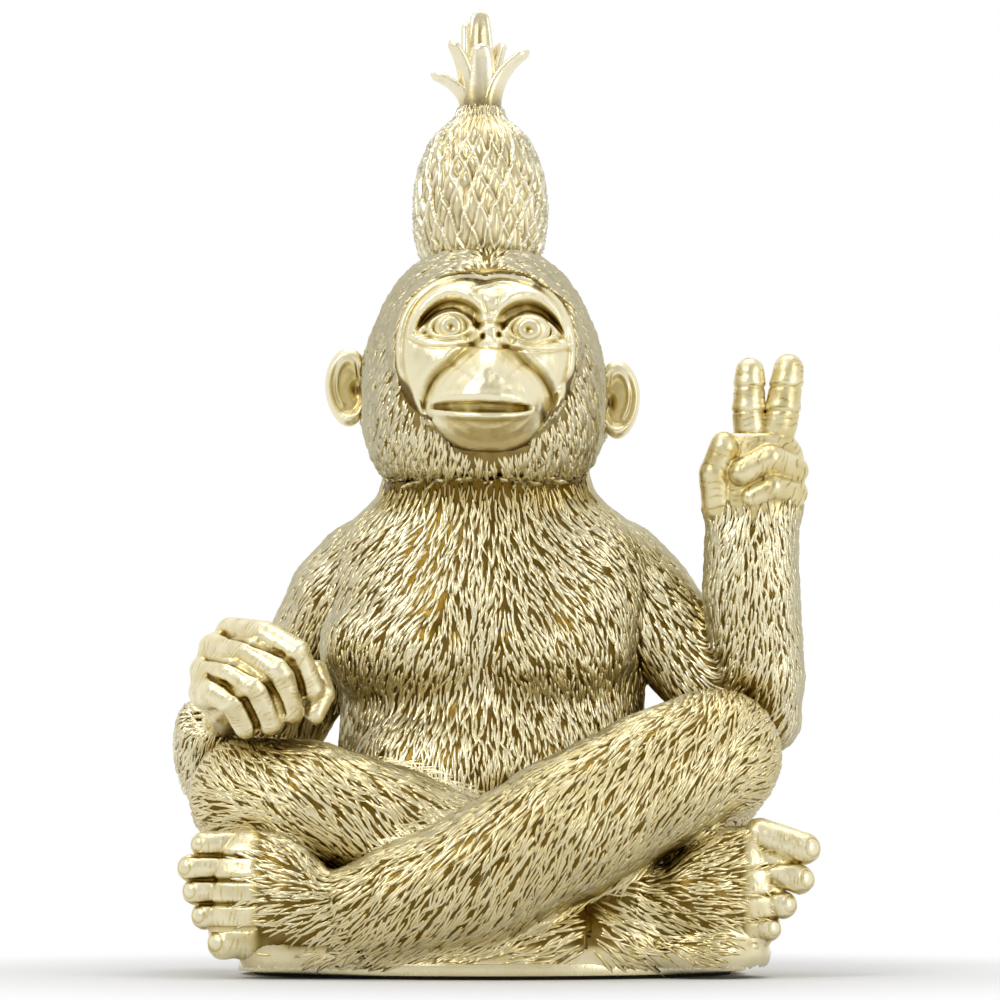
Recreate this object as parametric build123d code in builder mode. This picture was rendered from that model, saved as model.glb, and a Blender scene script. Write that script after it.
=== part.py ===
"""Seated monkey figurine with a pineapple on its head: a resin ornament, glued up from separate castings.

The frame is +Z up, with +Y going back and +X to the right of someone who faces the figure. The origin is
the centre of the felt pad's underside, where the figurine rests. Lengths are in millimetres.
"""

import os
from math import cos, radians, sin, sqrt

from build123d import *

os.makedirs("parts", exist_ok=True)

# Driving sizes of the body. Every station of the body is a share of these three.
# The limbs lie over each other in height, so how thick they are goes with the height.
body_width = 160.0
body_depth = 100.0
body_height = 125.0
limb_girth_share = 1.28
limb_girth = limb_girth_share * body_height

# Driving sizes of the head, the hands, the pineapple and the base
head_width = 60.0
head_depth = 62.0
head_height = 61.0
ear_height = 21.0
hand_size = 26.0
fruit_diameter = 35.5
fruit_height = 44.5
crown_height = 26.5
plate_thickness = 3.0
felt_thickness = 1.0
felt_inset = 4.0

# Hollow casting, pour hole and pins
casting_wall = 7.0
pour_hole_diameter = 22.0
bung_head_diameter = 27.0
bung_head_thickness = 1.2
pin_diameter = 3.0
thin_pin_diameter = 2.0
pin_length = 18.0
thin_pin_length = 10.0
glue_gap = 0.15

# How a rounded end closes: distance beyond the last station, and girth, as shares of its radius
dome_shares = ((0.45, 0.89), (0.8, 0.6), (0.97, 0.24))
# Where a lofted ball has its sections, as shares of its half length
ball_shares = (-0.98, -0.82, -0.45, 0.0, 0.45, 0.82, 0.98)
# How much slimmer a bone starts than the one before it ends
knuckle_share = 0.965


def at(x_share, y_share, z_share):
    """The point at these shares of the body's width, depth and height."""
    return Vector(x_share * body_width, y_share * body_depth, z_share * body_height)


def section_plane(origin, normal, reference):
    """A section's plane, its x axis turned towards the reference so that a loft doesn't twist."""
    level = reference - normal * reference.dot(normal)
    return Plane(origin=origin, x_dir=level.normalized(), z_dir=normal)


def lofted(stations, first_tangent, reference):
    """A palm or instep lofted from a flat seat to a rounded end: (point, radius along reference, across)."""
    points = [point for point, tall, wide in stations]
    sides = [(b - a).normalized() for a, b in zip(points, points[1:])]
    tangents = [first_tangent] + [(a + b).normalized() for a, b in zip(sides, sides[1:])] + [sides[-1]]
    rings = [(point, tangent, tall, wide) for (point, tall, wide), tangent in zip(stations, tangents)]
    point, tangent, tall, wide = rings[-1]
    reach = min(tall, wide)
    for out, size in dome_shares:
        rings.append((point + tangent * reach * out, tangent, tall * size, wide * size))
    with BuildPart() as body:
        for point, tangent, tall, wide in rings:
            with BuildSketch(section_plane(point, tangent, reference)):
                Ellipse(tall, wide)
        loft()
    return body.part


def bone(start, end, start_radius, end_radius, flat_end=False):
    """A short straight piece of a limb, finger, toe or leaf: a cone with a ball at each end."""
    length = (end - start).length
    with BuildPart() as body:
        with BuildSketch(Plane.XZ):
            with BuildLine():
                low = CenterArc((0, 0), start_radius, -90, 90)
                if flat_end:
                    Polyline(low @ 1, (end_radius, length), (0, length), low @ 0)
                else:
                    high = CenterArc((0, length), end_radius, 0, 90)
                    Line(low @ 1, high @ 0)
                    Line(high @ 1, low @ 0)
            make_face()
        revolve(axis=Axis.Z)
    return body.part.moved(Plane(origin=start, z_dir=end - start).location)


def jointed(points, radii, flat_end=False):
    """A row of bones. Each begins a little slimmer inside the end of the one before."""
    bones = []
    for i in range(len(points) - 1):
        slim = knuckle_share if i else 1
        last = i == len(points) - 2
        bones.append(bone(points[i], points[i + 1], slim * radii[i], radii[i + 1], flat_end and last))
    return bones


def limb(rows, flat_end=False):
    """A limb from rows of (x, y, z, radius) shares; the radius is a share of the limb girth."""
    return jointed([at(x, y, z) for x, y, z, r in rows], [r * limb_girth for x, y, z, r in rows], flat_end)


def ball(centre, radii):
    """An ellipsoid lofted upwards through elliptical sections, set at its centre."""
    half_x, half_y, half_z = radii
    with BuildPart() as body:
        for share in ball_shares:
            girth = sqrt(1 - share * share)
            with BuildSketch(Plane.XY.offset(share * half_z)):
                Ellipse(half_x * girth, half_y * girth)
        loft()
    return body.part.moved(Location(centre))


def joined(*shapes):
    """One casting from overlapping forms."""
    with BuildPart() as body:
        for shape in shapes:
            add(shape)
    return body.part


def fitted(shape, *neighbours):
    """The casting with its neighbours' room cut away, so that it seats on them face to face."""
    with BuildPart() as body:
        add(shape)
        for neighbour in neighbours:
            add(neighbour, mode=Mode.SUBTRACT)
    return body.part.solids().sort_by(SortBy.VOLUME)[-1]


# Base plate: its outline as an ellipse in shares of the body's width and depth, and the felt pad under it
plate_centre_shares = (-0.006, -0.02)
plate_half_shares = (0.405, 0.52)
pour_hole_y_share = 0.13
plate_top = felt_thickness + plate_thickness
plate_centre = (plate_centre_shares[0] * body_width, plate_centre_shares[1] * body_depth)
pour_hole_centre = (plate_centre[0], pour_hole_y_share * body_depth)
plate_half_width = plate_half_shares[0] * body_width
plate_half_depth = plate_half_shares[1] * body_depth

with BuildPart() as base_plate:
    with BuildSketch(Plane.XY.offset(felt_thickness)):
        with Locations(plate_centre):
            Ellipse(plate_half_width, plate_half_depth)
        with Locations(pour_hole_centre):
            Circle(pour_hole_diameter / 2, mode=Mode.SUBTRACT)
    extrude(amount=plate_thickness)
base_plate.part.label = "base_plate"
export_step(base_plate.part, "parts/base_plate.step")

with BuildPart() as felt_pad:
    with BuildSketch():
        with Locations(plate_centre):
            Ellipse(plate_half_width - felt_inset, plate_half_depth - felt_inset)
    extrude(amount=felt_thickness)
felt_pad.part.label = "felt_pad"
export_step(felt_pad.part, "parts/felt_pad.step")

# The bung fills the pour hole from inside: its plug stands in the hole and its head lies on the plate
with BuildPart() as pour_hole_bung:
    with BuildSketch(Plane.XY.offset(felt_thickness)):
        with Locations(pour_hole_centre):
            Circle(pour_hole_diameter / 2 - glue_gap)
    extrude(amount=plate_thickness)
    with BuildSketch(Plane.XY.offset(plate_top)):
        with Locations(pour_hole_centre):
            Circle(bung_head_diameter / 2)
    extrude(amount=bung_head_thickness)
pour_hole_bung.part.label = "pour_hole_bung"
export_step(pour_hole_bung.part, "parts/pour_hole_bung.step")

# Everything below the plate's top is trimmed off the castings that stand on it
with BuildPart() as below_plate:
    with BuildSketch(Plane.XY.offset(plate_top)):
        Rectangle(2 * body_width, 2 * body_width)
    extrude(amount=-body_height)
under = below_plate.part

# Torso sections from seat to neck: height, centre x, centre y, half width, half depth.
# Heights are shares of the body's height, x and half widths of its width, y and half depths of its depth.
torso_shares = (
    (-0.040, -0.006, 0.15, 0.235, 0.31),
    (0.080, -0.006, 0.14, 0.285, 0.38),
    (0.200, -0.006, 0.12, 0.280, 0.38),
    (0.330, -0.006, 0.10, 0.258, 0.35),
    (0.460, -0.006, 0.08, 0.246, 0.33),
    (0.580, -0.006, 0.09, 0.243, 0.31),
    (0.700, -0.006, 0.09, 0.262, 0.33),
    (0.800, -0.006, 0.10, 0.272, 0.32),
    (0.880, -0.008, 0.10, 0.242, 0.28),
    (0.950, -0.012, 0.09, 0.190, 0.25),
    (1.030, -0.016, 0.06, 0.164, 0.24),
    (1.120, -0.020, 0.03, 0.158, 0.24),
)
cavity_rows = 10
# Muscles that stand out of the trunk, each a row of rounded stations: x, y, z and radius as shares
muscle_shares = {
    "resting_breast": ((-0.200, -0.030, 0.665, 0.080), (-0.085, -0.125, 0.655, 0.080)),
    "raised_breast": ((0.145, -0.030, 0.665, 0.080), (0.030, -0.125, 0.655, 0.080)),
    "belly": ((-0.115, -0.070, 0.400, 0.115), (-0.035, -0.106, 0.400, 0.115), (0.045, -0.070, 0.400, 0.115)),
    "resting_shoulder_blade": ((-0.165, 0.215, 0.780, 0.100), (-0.095, 0.275, 0.680, 0.098)),
    "raised_shoulder_blade": ((0.145, 0.215, 0.780, 0.100), (0.080, 0.275, 0.680, 0.098)),
}

# Limb stations from the trunk outwards: x, y, z and radius as shares
raised_upper_shares = (
    (0.190, 0.11, 0.80, 0.094),
    (0.235, 0.10, 0.76, 0.088),
    (0.290, 0.06, 0.68, 0.080),
    (0.345, 0.02, 0.60, 0.074),
    (0.400, -0.02, 0.54, 0.066),
)
raised_fore_shares = (
    (0.436, -0.04, 0.530, 0.062),
    (0.430, -0.06, 0.600, 0.077),
    (0.420, -0.07, 0.680, 0.080),
    (0.409, -0.10, 0.780, 0.078),
    (0.409, -0.10, 0.900, 0.072),
)
resting_upper_shares = (
    (-0.205, 0.11, 0.80, 0.094),
    (-0.250, 0.11, 0.76, 0.088),
    (-0.285, 0.14, 0.69, 0.080),
    (-0.320, 0.19, 0.59, 0.076),
    (-0.370, 0.25, 0.48, 0.073),
    (-0.418, 0.26, 0.40, 0.068),
)
resting_fore_shares = (
    (-0.418, 0.25, 0.400, 0.068),
    (-0.450, 0.13, 0.410, 0.064),
    (-0.462, 0.01, 0.460, 0.057),
    (-0.456, -0.08, 0.520, 0.052),
)
rear_thigh_shares = (
    (-0.130, 0.20, 0.200, 0.120),
    (-0.235, 0.08, 0.240, 0.118),
    (-0.325, -0.07, 0.305, 0.108),
    (-0.390, -0.19, 0.360, 0.092),
)
rear_shin_shares = (
    (-0.390, -0.20, 0.360, 0.092),
    (-0.290, -0.27, 0.345, 0.097),
    (-0.150, -0.28, 0.285, 0.098),
    (0.010, -0.27, 0.215, 0.092),
    (0.150, -0.29, 0.165, 0.080),
    (0.240, -0.34, 0.142, 0.074),
)
front_thigh_shares = (
    (0.130, 0.20, 0.200, 0.120),
    (0.225, 0.06, 0.270, 0.118),
    (0.300, -0.09, 0.365, 0.110),
    (0.345, -0.22, 0.440, 0.102),
)
front_shin_shares = (
    (0.345, -0.25, 0.445, 0.102),
    (0.240, -0.36, 0.385, 0.108),
    (0.100, -0.43, 0.290, 0.110),
    (-0.030, -0.45, 0.195, 0.104),
    (-0.150, -0.46, 0.150, 0.086),
    (-0.240, -0.45, 0.122, 0.068),
)

# Foot stations beyond the end of its shin: x, y, z, half height and half depth; these two of the limb girth
rear_foot_shares = (
    (0.290, -0.365, 0.146, 0.070, 0.062),
    (0.350, -0.37, 0.168, 0.096, 0.056),
    (0.390, -0.37, 0.180, 0.096, 0.044),
)
front_foot_shares = (
    (-0.290, -0.435, 0.136, 0.074, 0.062),
    (-0.350, -0.42, 0.160, 0.095, 0.056),
    (-0.400, -0.41, 0.170, 0.095, 0.044),
)
# Toes from the top one down: root x, y, z, tip x, y, z, and the radius at each end, as shares
rear_toe_shares = (
    (0.410, -0.37, 0.284, 0.478, -0.39, 0.256, 0.023, 0.022),
    (0.400, -0.38, 0.236, 0.470, -0.40, 0.195, 0.021, 0.020),
    (0.395, -0.38, 0.188, 0.444, -0.40, 0.145, 0.020, 0.019),
    (0.380, -0.38, 0.138, 0.420, -0.40, 0.098, 0.019, 0.018),
    (0.355, -0.38, 0.094, 0.390, -0.40, 0.066, 0.017, 0.015),
)
front_toe_shares = (
    (-0.385, -0.40, 0.268, -0.452, -0.42, 0.264, 0.018, 0.017),
    (-0.400, -0.41, 0.226, -0.470, -0.43, 0.218, 0.020, 0.019),
    (-0.400, -0.41, 0.180, -0.462, -0.43, 0.172, 0.020, 0.019),
    (-0.390, -0.41, 0.134, -0.448, -0.43, 0.124, 0.021, 0.019),
    (-0.370, -0.41, 0.082, -0.420, -0.43, 0.070, 0.024, 0.022),
)

# Raised hand, from its wrist, in shares of the hand's size.
# Palm: height, centre x, centre y, half width, half depth. Fingers: x, y, z and radius.
peace_palm_shares = (
    (0.00, 0.00, 0.00, 0.43, 0.36),
    (0.26, 0.02, -0.02, 0.48, 0.34),
    (0.54, 0.02, -0.02, 0.50, 0.33),
    (0.78, 0.03, -0.01, 0.47, 0.29),
    (0.95, 0.03, 0.00, 0.33, 0.20),
)
peace_finger_shares = {
    "index": ((0.00, 0.00, 0.82, 0.150), (-0.03, -0.03, 1.20, 0.142), (-0.02, -0.05, 1.58, 0.124)),
    "middle": ((0.22, 0.00, 0.80, 0.155), (0.30, -0.03, 1.22, 0.150), (0.36, -0.05, 1.61, 0.132)),
    "thumb": ((-0.34, -0.16, 0.22, 0.160), (-0.38, -0.24, 0.56, 0.155), (-0.29, -0.28, 0.81, 0.142)),
    "ring": ((0.40, -0.10, 0.60, 0.150), (0.16, -0.32, 0.70, 0.145), (-0.12, -0.34, 0.56, 0.130)),
    "little": ((0.40, -0.12, 0.38, 0.140), (0.18, -0.30, 0.42, 0.135), (-0.02, -0.30, 0.32, 0.120)),
}

# Resting fist, from its wrist, in shares of the hand's size.
# Palm: x, y, z, half thickness and half height. Fingers: x, y, z and radius.
fist_palm_shares = (
    (0.00, 0.00, 0.00, 0.31, 0.31),
    (0.20, -0.30, 0.20, 0.36, 0.36),
    (0.44, -0.54, 0.35, 0.44, 0.44),
    (0.66, -0.66, 0.42, 0.40, 0.44),
)
fist_finger_shares = {
    "index": (
        (0.24, -0.56, 0.82, 0.15),
        (0.58, -0.94, 0.77, 0.15),
        (0.88, -1.06, 0.60, 0.15),
        (1.03, -0.94, 0.26, 0.13),
    ),
    "middle": (
        (0.08, -0.64, 0.66, 0.15),
        (0.44, -1.04, 0.61, 0.15),
        (0.74, -1.16, 0.41, 0.15),
        (0.84, -1.04, 0.05, 0.13),
    ),
    "ring": (
        (0.00, -0.68, 0.44, 0.15),
        (0.26, -1.08, 0.42, 0.15),
        (0.50, -1.18, 0.26, 0.15),
        (0.64, -1.04, -0.06, 0.13),
    ),
    "little": (
        (-0.02, -0.68, 0.23, 0.14),
        (0.12, -1.04, 0.24, 0.14),
        (0.30, -1.14, 0.14, 0.14),
        (0.41, -1.04, -0.10, 0.12),
    ),
    "thumb": (
        (0.78, -0.44, 0.44, 0.15),
        (1.06, -0.68, 0.42, 0.13),
        (1.14, -0.84, 0.22, 0.12),
        (1.06, -0.90, 0.02, 0.10),
    ),
}

# Head: its centre above the torso's top, then places in shares of its half width, half depth and half height
neck_top = at(torso_shares[-1][1], torso_shares[-1][2], torso_shares[-1][0])
head_centre_shares = (0.0, -0.08, 0.28)
head_centre = neck_top + Vector(
    head_centre_shares[0] * head_width,
    head_centre_shares[1] * head_depth,
    head_centre_shares[2] * head_height,
)
head_half = Vector(head_width / 2, head_depth / 2, head_height / 2)
# Skull and fur ruff, upwards: height, centre x, centre y, half width, half depth
skull_shares = (
    (-1.00, 0.00, 0.04, 0.82, 0.72),
    (-0.82, 0.00, 0.02, 0.94, 0.84),
    (-0.55, 0.00, 0.00, 1.01, 0.92),
    (-0.25, 0.00, 0.00, 1.02, 0.98),
    (0.05, 0.00, 0.00, 0.99, 1.00),
    (0.35, 0.00, 0.01, 0.89, 0.96),
    (0.60, 0.00, 0.02, 0.76, 0.85),
    (0.80, 0.00, 0.03, 0.57, 0.66),
    (0.93, 0.00, 0.03, 0.36, 0.42),
    (1.00, 0.00, 0.03, 0.12, 0.14),
)
# Forms that face forwards: depth, centre x, centre height, half width, half height
mask_shares = (
    (-0.40, 0.02, 0.05, 0.80, 0.71),
    (-0.78, 0.02, 0.05, 0.77, 0.70),
    (-0.98, 0.03, 0.04, 0.62, 0.60),
    (-1.08, 0.04, 0.02, 0.38, 0.42),
    (-1.11, 0.04, 0.02, 0.12, 0.14),
)
muzzle_shares = (
    (-0.80, 0.05, -0.32, 0.64, 0.44),
    (-1.10, 0.06, -0.33, 0.60, 0.42),
    (-1.28, 0.07, -0.35, 0.47, 0.33),
    (-1.37, 0.07, -0.36, 0.28, 0.20),
    (-1.40, 0.07, -0.36, 0.09, 0.07),
)
# Ridges of the face: x, y, z and radius
brow_shares = (
    (-0.56, -0.78, 0.36, 0.11),
    (-0.25, -0.91, 0.50, 0.12),
    (0.10, -0.95, 0.46, 0.10),
    (0.42, -0.91, 0.48, 0.12),
    (0.68, -0.76, 0.33, 0.11),
)
lip_shares = (
    (-0.42, -1.08, -0.46, 0.07),
    (-0.15, -1.27, -0.49, 0.09),
    (0.12, -1.31, -0.50, 0.09),
    (0.34, -1.26, -0.49, 0.09),
    (0.58, -1.06, -0.48, 0.07),
)
nose_shares = (0.10, -1.16, 0.05)
nose_half_shares = (0.20, 0.12, 0.12)
eye_shares = ((-0.27, -1.00, 0.32), (0.43, -1.00, 0.32))
eye_radius_share = 0.13
# Ears: their centres on the head, and their half sizes and bowls in shares of half the ear's height
ear_shares = ((-1.16, 0.08, -0.22), (1.13, 0.08, -0.33))
ear_half_shares = (0.54, 0.34, 1.0)
ear_bowl_share = 0.62
ear_bowl_forward_share = 0.24

# Pineapple: its foot on the head, then its barrel as radii and heights in shares of its sizes
fruit_foot_shares = (-0.03, 0.03, 0.72)
fruit_profile_shares = ((0.74, 0.0), (0.93, 0.16), (1.0, 0.42), (0.90, 0.70), (0.66, 0.90), (0.36, 1.0))

# Crown, in shares of its height: the stub, and each leaf's compass direction in degrees, reach and rise
stub_radius_share = 0.24
stub_height_share = 0.13
leaf_root_height_share = 0.06
leaf_spread_share = 0.11
leaf_radius_share = 0.118
leaf_shares = {
    "front_broad": (-85, 0.08, 0.60),
    "right_outer": (-12, 0.36, 0.52),
    "right_small": (48, 0.20, 0.64),
    "back_tall": (92, 0.03, 1.0),
    "back_second": (150, 0.17, 0.83),
    "left_small": (212, 0.26, 0.62),
    "left_outer": (184, 0.42, 0.34),
    "back_low": (100, 0.34, 0.48),
}
leaf_rise_shares = (0.0, 0.38, 0.74, 1.0)
leaf_reach_shares = (0.0, 0.14, 0.50, 1.0)
leaf_girth_shares = (1.0, 0.92, 0.66, 0.40)


def torso_form(inset, rows):
    """The torso lofted through its elliptical sections, drawn in all round by inset."""
    with BuildPart() as body:
        for z, x, y, half_width, half_depth in rows:
            with BuildSketch(Plane.XY.offset(z * body_height)):
                with Locations((x * body_width, y * body_depth)):
                    Ellipse(half_width * body_width - inset, half_depth * body_depth - inset)
        loft()
    return body.part


def last_run(rows):
    """The direction in which a limb ends."""
    before, end = [at(x, y, z) for x, y, z, radius in rows[-2:]]
    return (end - before).normalized()


def foot(shin_shares, foot_shares, toe_shares):
    """A foot that stands on its edge: the instep lofted from its shin's flat end, and five toes."""
    ankle_radius = shin_shares[-1][-1] * limb_girth
    stations = [(at(*shin_shares[-1][:3]), ankle_radius, ankle_radius)]
    stations += [(at(x, y, z), tall * limb_girth, deep * limb_girth) for x, y, z, tall, deep in foot_shares]
    instep = lofted(stations, last_run(shin_shares), Vector(0, 0, 1))
    toes = []
    for x1, y1, z1, x2, y2, z2, thick, slim in toe_shares:
        toes.append(bone(at(x1, y1, z1), at(x2, y2, z2), thick * limb_girth, slim * limb_girth))
    return joined(instep, *toes)


def fingers(wrist, finger_shares):
    """Each finger as a row of bones, placed from the wrist in shares of the hand's size."""
    bones = []
    for rows in finger_shares.values():
        points = [wrist + Vector(x, y, z) * hand_size for x, y, z, radius in rows]
        bones += jointed(points, [radius * hand_size for x, y, z, radius in rows])
    return bones


def palm(wrist, rows):
    """A palm lofted upwards from the wrist through elliptical sections."""
    with BuildPart() as body:
        for z, x, y, half_width, half_depth in rows:
            with BuildSketch(Plane.XY.offset(wrist.Z + z * hand_size)):
                with Locations((wrist.X + x * hand_size, wrist.Y + y * hand_size)):
                    Ellipse(half_width * hand_size, half_depth * hand_size)
        loft()
    return body.part


def on_head(x_share, y_share, z_share):
    """A point of the head from its centre."""
    return head_centre + Vector(x_share * head_half.X, y_share * head_half.Y, z_share * head_half.Z)


def upward_loft(rows):
    """A form of the head lofted upwards through elliptical sections."""
    with BuildPart() as body:
        for z, x, y, half_width, half_depth in rows:
            centre = on_head(x, y, z)
            with BuildSketch(Plane.XY.offset(centre.Z)):
                with Locations((centre.X, centre.Y)):
                    Ellipse(half_width * head_half.X, half_depth * head_half.Y)
        loft()
    return body.part


def forward_loft(rows):
    """A form of the face lofted towards the viewer through elliptical sections."""
    with BuildPart() as body:
        for y, x, z, half_width, half_height in rows:
            with BuildSketch(Plane(origin=on_head(x, y, z), x_dir=(1, 0, 0), z_dir=(0, -1, 0))):
                Ellipse(half_width * head_half.X, half_height * head_half.Z)
        loft()
    return body.part


def face_ridge(rows):
    """A ridge across the face, as a row of bones; its radii are shares of the head's half width."""
    return jointed([on_head(x, y, z) for x, y, z, r in rows], [r * head_half.X for x, y, z, r in rows])


def leaf(compass, reach, rise):
    """One leaf: it stands up from the stub, then curls out towards its compass direction."""
    outwards = Vector(cos(radians(compass)), sin(radians(compass)), 0)
    root_height = leaf_root_height_share * crown_height
    root = fruit_top + outwards * leaf_spread_share * crown_height + Vector(0, 0, root_height)
    radii = [girth * leaf_radius_share * crown_height for girth in leaf_girth_shares]
    climb = rise * crown_height - root_height - radii[-1]
    points = []
    for height, out in zip(leaf_rise_shares, leaf_reach_shares):
        points.append(root + outwards * out * reach * crown_height + Vector(0, 0, height * climb))
    return jointed(points, radii)


# Steel pins, each centred on the glued seam that it holds: middle, direction, diameter and length.
# The shoulders and hips have their pins where the limb's root meets the torso's side.
fruit_foot = on_head(*fruit_foot_shares)
fruit_top = fruit_foot + Vector(0, 0, fruit_height)
raised_wrist = at(*raised_fore_shares[-1][:3])
resting_wrist = at(*resting_fore_shares[-1][:3])
resting_run = last_run(resting_fore_shares)
rear_ankle = at(*rear_shin_shares[-1][:3])
front_ankle = at(*front_shin_shares[-1][:3])
crown_of_head = Vector(fruit_foot.X, fruit_foot.Y, on_head(0, 0, skull_shares[-1][0]).Z)
shoulder_height_share, shoulder_x_share, shoulder_y_share, shoulder_reach_share = torso_shares[6][:4]
raised_shoulder = at(shoulder_x_share + shoulder_reach_share, shoulder_y_share, shoulder_height_share)
resting_shoulder = at(shoulder_x_share - shoulder_reach_share, shoulder_y_share, shoulder_height_share)
rear_hip_shares = (-0.262, -0.016, 0.265)
front_hip_shares = (0.238, -0.021, 0.305)
pins = {
    "neck_pin": (neck_top, (0, 0, 1), pin_diameter, pin_length),
    "fruit_pin": (crown_of_head, (0, 0, 1), pin_diameter, pin_length),
    "crown_pin": (fruit_top, (0, 0, 1), thin_pin_diameter, thin_pin_length),
    "raised_wrist_pin": (raised_wrist, (0, 0, 1), pin_diameter, pin_length),
    "resting_wrist_pin": (resting_wrist, resting_run, thin_pin_diameter, thin_pin_length),
    "raised_shoulder_pin": (raised_shoulder, (1, 0, 0), thin_pin_diameter, thin_pin_length),
    "resting_shoulder_pin": (resting_shoulder, (-1, 0, 0), thin_pin_diameter, thin_pin_length),
    "rear_hip_pin": (at(*rear_hip_shares), (-0.92, -0.39, 0), thin_pin_diameter, thin_pin_length),
    "front_hip_pin": (at(*front_hip_shares), (0.92, -0.39, 0), thin_pin_diameter, thin_pin_length),
    "rear_ankle_pin": (rear_ankle, last_run(rear_shin_shares), pin_diameter, pin_length),
    "front_ankle_pin": (front_ankle, last_run(front_shin_shares), pin_diameter, pin_length),
}
drilled = {}
for name, (middle, direction, diameter, length) in pins.items():
    seam = Plane(origin=middle, z_dir=direction)
    with BuildPart(seam) as pin:
        Cylinder(diameter / 2, length)
        chamfer(pin.edges().filter_by(GeomType.CIRCLE), glue_gap)
    pin.part.label = name
    export_step(pin.part, f"parts/{name}.step")
    with BuildPart(seam) as hole:
        Cylinder(diameter / 2 + glue_gap, length + 2 * glue_gap)
    drilled[name] = hole.part

# Torso: its outer form with its muscles, then the shell that is left round the cavity
muscles = []
for muscle_rows in muscle_shares.values():
    muscles += limb(muscle_rows)
torso_body = joined(torso_form(0, torso_shares), *muscles)
torso_cavity = torso_form(casting_wall, torso_shares[:cavity_rows])

with BuildPart() as torso_shell:
    add(torso_body)
    add(under, mode=Mode.SUBTRACT)
    add(torso_cavity, mode=Mode.SUBTRACT)
    for name in ("neck_pin", "raised_shoulder_pin", "resting_shoulder_pin", "rear_hip_pin", "front_hip_pin"):
        add(drilled[name], mode=Mode.SUBTRACT)
torso_shell.part.label = "torso_shell"
export_step(torso_shell.part, "parts/torso_shell.step")

# Legs: the rear one crosses behind, the front one over it
rear_leg_form = joined(*limb(rear_thigh_shares), *limb(rear_shin_shares, flat_end=True))
rear_leg_seated = fitted(rear_leg_form, torso_body)
front_leg_form = joined(*limb(front_thigh_shares), *limb(front_shin_shares, flat_end=True))
front_leg_seated = fitted(front_leg_form, torso_body, rear_leg_seated)

with BuildPart() as rear_leg:
    add(rear_leg_seated)
    add(drilled["rear_hip_pin"], mode=Mode.SUBTRACT)
    add(drilled["rear_ankle_pin"], mode=Mode.SUBTRACT)
rear_leg.part.label = "rear_leg"
export_step(rear_leg.part, "parts/rear_leg.step")

with BuildPart() as front_leg:
    add(front_leg_seated)
    add(drilled["front_hip_pin"], mode=Mode.SUBTRACT)
    add(drilled["front_ankle_pin"], mode=Mode.SUBTRACT)
front_leg.part.label = "front_leg"
export_step(front_leg.part, "parts/front_leg.step")

with BuildPart() as rear_foot:
    add(foot(rear_shin_shares, rear_foot_shares, rear_toe_shares))
    add(drilled["rear_ankle_pin"], mode=Mode.SUBTRACT)
rear_foot.part.label = "rear_foot"
export_step(rear_foot.part, "parts/rear_foot.step")

with BuildPart() as front_foot:
    add(foot(front_shin_shares, front_foot_shares, front_toe_shares))
    add(drilled["front_ankle_pin"], mode=Mode.SUBTRACT)
front_foot.part.label = "front_foot"
export_step(front_foot.part, "parts/front_foot.step")

# Arms and hands
raised_arm_form = joined(*limb(raised_upper_shares), *limb(raised_fore_shares, flat_end=True))
raised_arm_seated = fitted(raised_arm_form, torso_body, front_leg_seated)
resting_arm_form = joined(*limb(resting_upper_shares), *limb(resting_fore_shares, flat_end=True))
resting_arm_seated = fitted(resting_arm_form, torso_body, rear_leg_seated)

with BuildPart() as raised_arm:
    add(raised_arm_seated)
    add(drilled["raised_shoulder_pin"], mode=Mode.SUBTRACT)
    add(drilled["raised_wrist_pin"], mode=Mode.SUBTRACT)
raised_arm.part.label = "raised_arm"
export_step(raised_arm.part, "parts/raised_arm.step")

with BuildPart() as resting_arm:
    add(resting_arm_seated)
    add(drilled["resting_shoulder_pin"], mode=Mode.SUBTRACT)
    add(drilled["resting_wrist_pin"], mode=Mode.SUBTRACT)
resting_arm.part.label = "resting_arm"
export_step(resting_arm.part, "parts/resting_arm.step")

peace_hand_form = joined(palm(raised_wrist, peace_palm_shares), *fingers(raised_wrist, peace_finger_shares))

with BuildPart() as peace_hand:
    add(peace_hand_form)
    add(drilled["raised_wrist_pin"], mode=Mode.SUBTRACT)
peace_hand.part.label = "peace_hand"
export_step(peace_hand.part, "parts/peace_hand.step")

fist_stations = []
for x, y, z, thick, tall in fist_palm_shares:
    fist_stations.append((resting_wrist + Vector(x, y, z) * hand_size, thick * hand_size, tall * hand_size))
fist_palm = lofted(fist_stations, resting_run, Vector(1, 0, 0))

with BuildPart() as resting_fist:
    add(fist_palm)
    add(drilled["resting_wrist_pin"], mode=Mode.SUBTRACT)
    for finger_bone in fingers(resting_wrist, fist_finger_shares):
        add(finger_bone)
resting_fist.part.label = "resting_fist"
export_step(resting_fist.part, "parts/resting_fist.step")

# Head, with its face, brow, lips, nose, eyes and ears
ears = []
ear_bowls = []
for ear_share in ear_shares:
    ear_centre = on_head(*ear_share)
    ear_half = [share * ear_height / 2 for share in ear_half_shares]
    ears.append(ball(ear_centre, ear_half))
    bowl_centre = ear_centre - Vector(0, ear_bowl_forward_share * ear_height / 2, 0)
    ear_bowls.append(ball(bowl_centre, [ear_bowl_share * half for half in ear_half]))

with BuildPart() as head_form:
    for ear in ears:
        add(ear)
    for ear_bowl in ear_bowls:
        add(ear_bowl, mode=Mode.SUBTRACT)
    add(upward_loft(skull_shares))
    add(forward_loft(mask_shares))
    add(forward_loft(muzzle_shares))
    for ridge_piece in face_ridge(brow_shares) + face_ridge(lip_shares):
        add(ridge_piece)
    add(ball(on_head(*nose_shares), [share * head_half.X for share in nose_half_shares]))
    with Locations([on_head(*eye_share) for eye_share in eye_shares]):
        Sphere(eye_radius_share * head_half.X)

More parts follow.
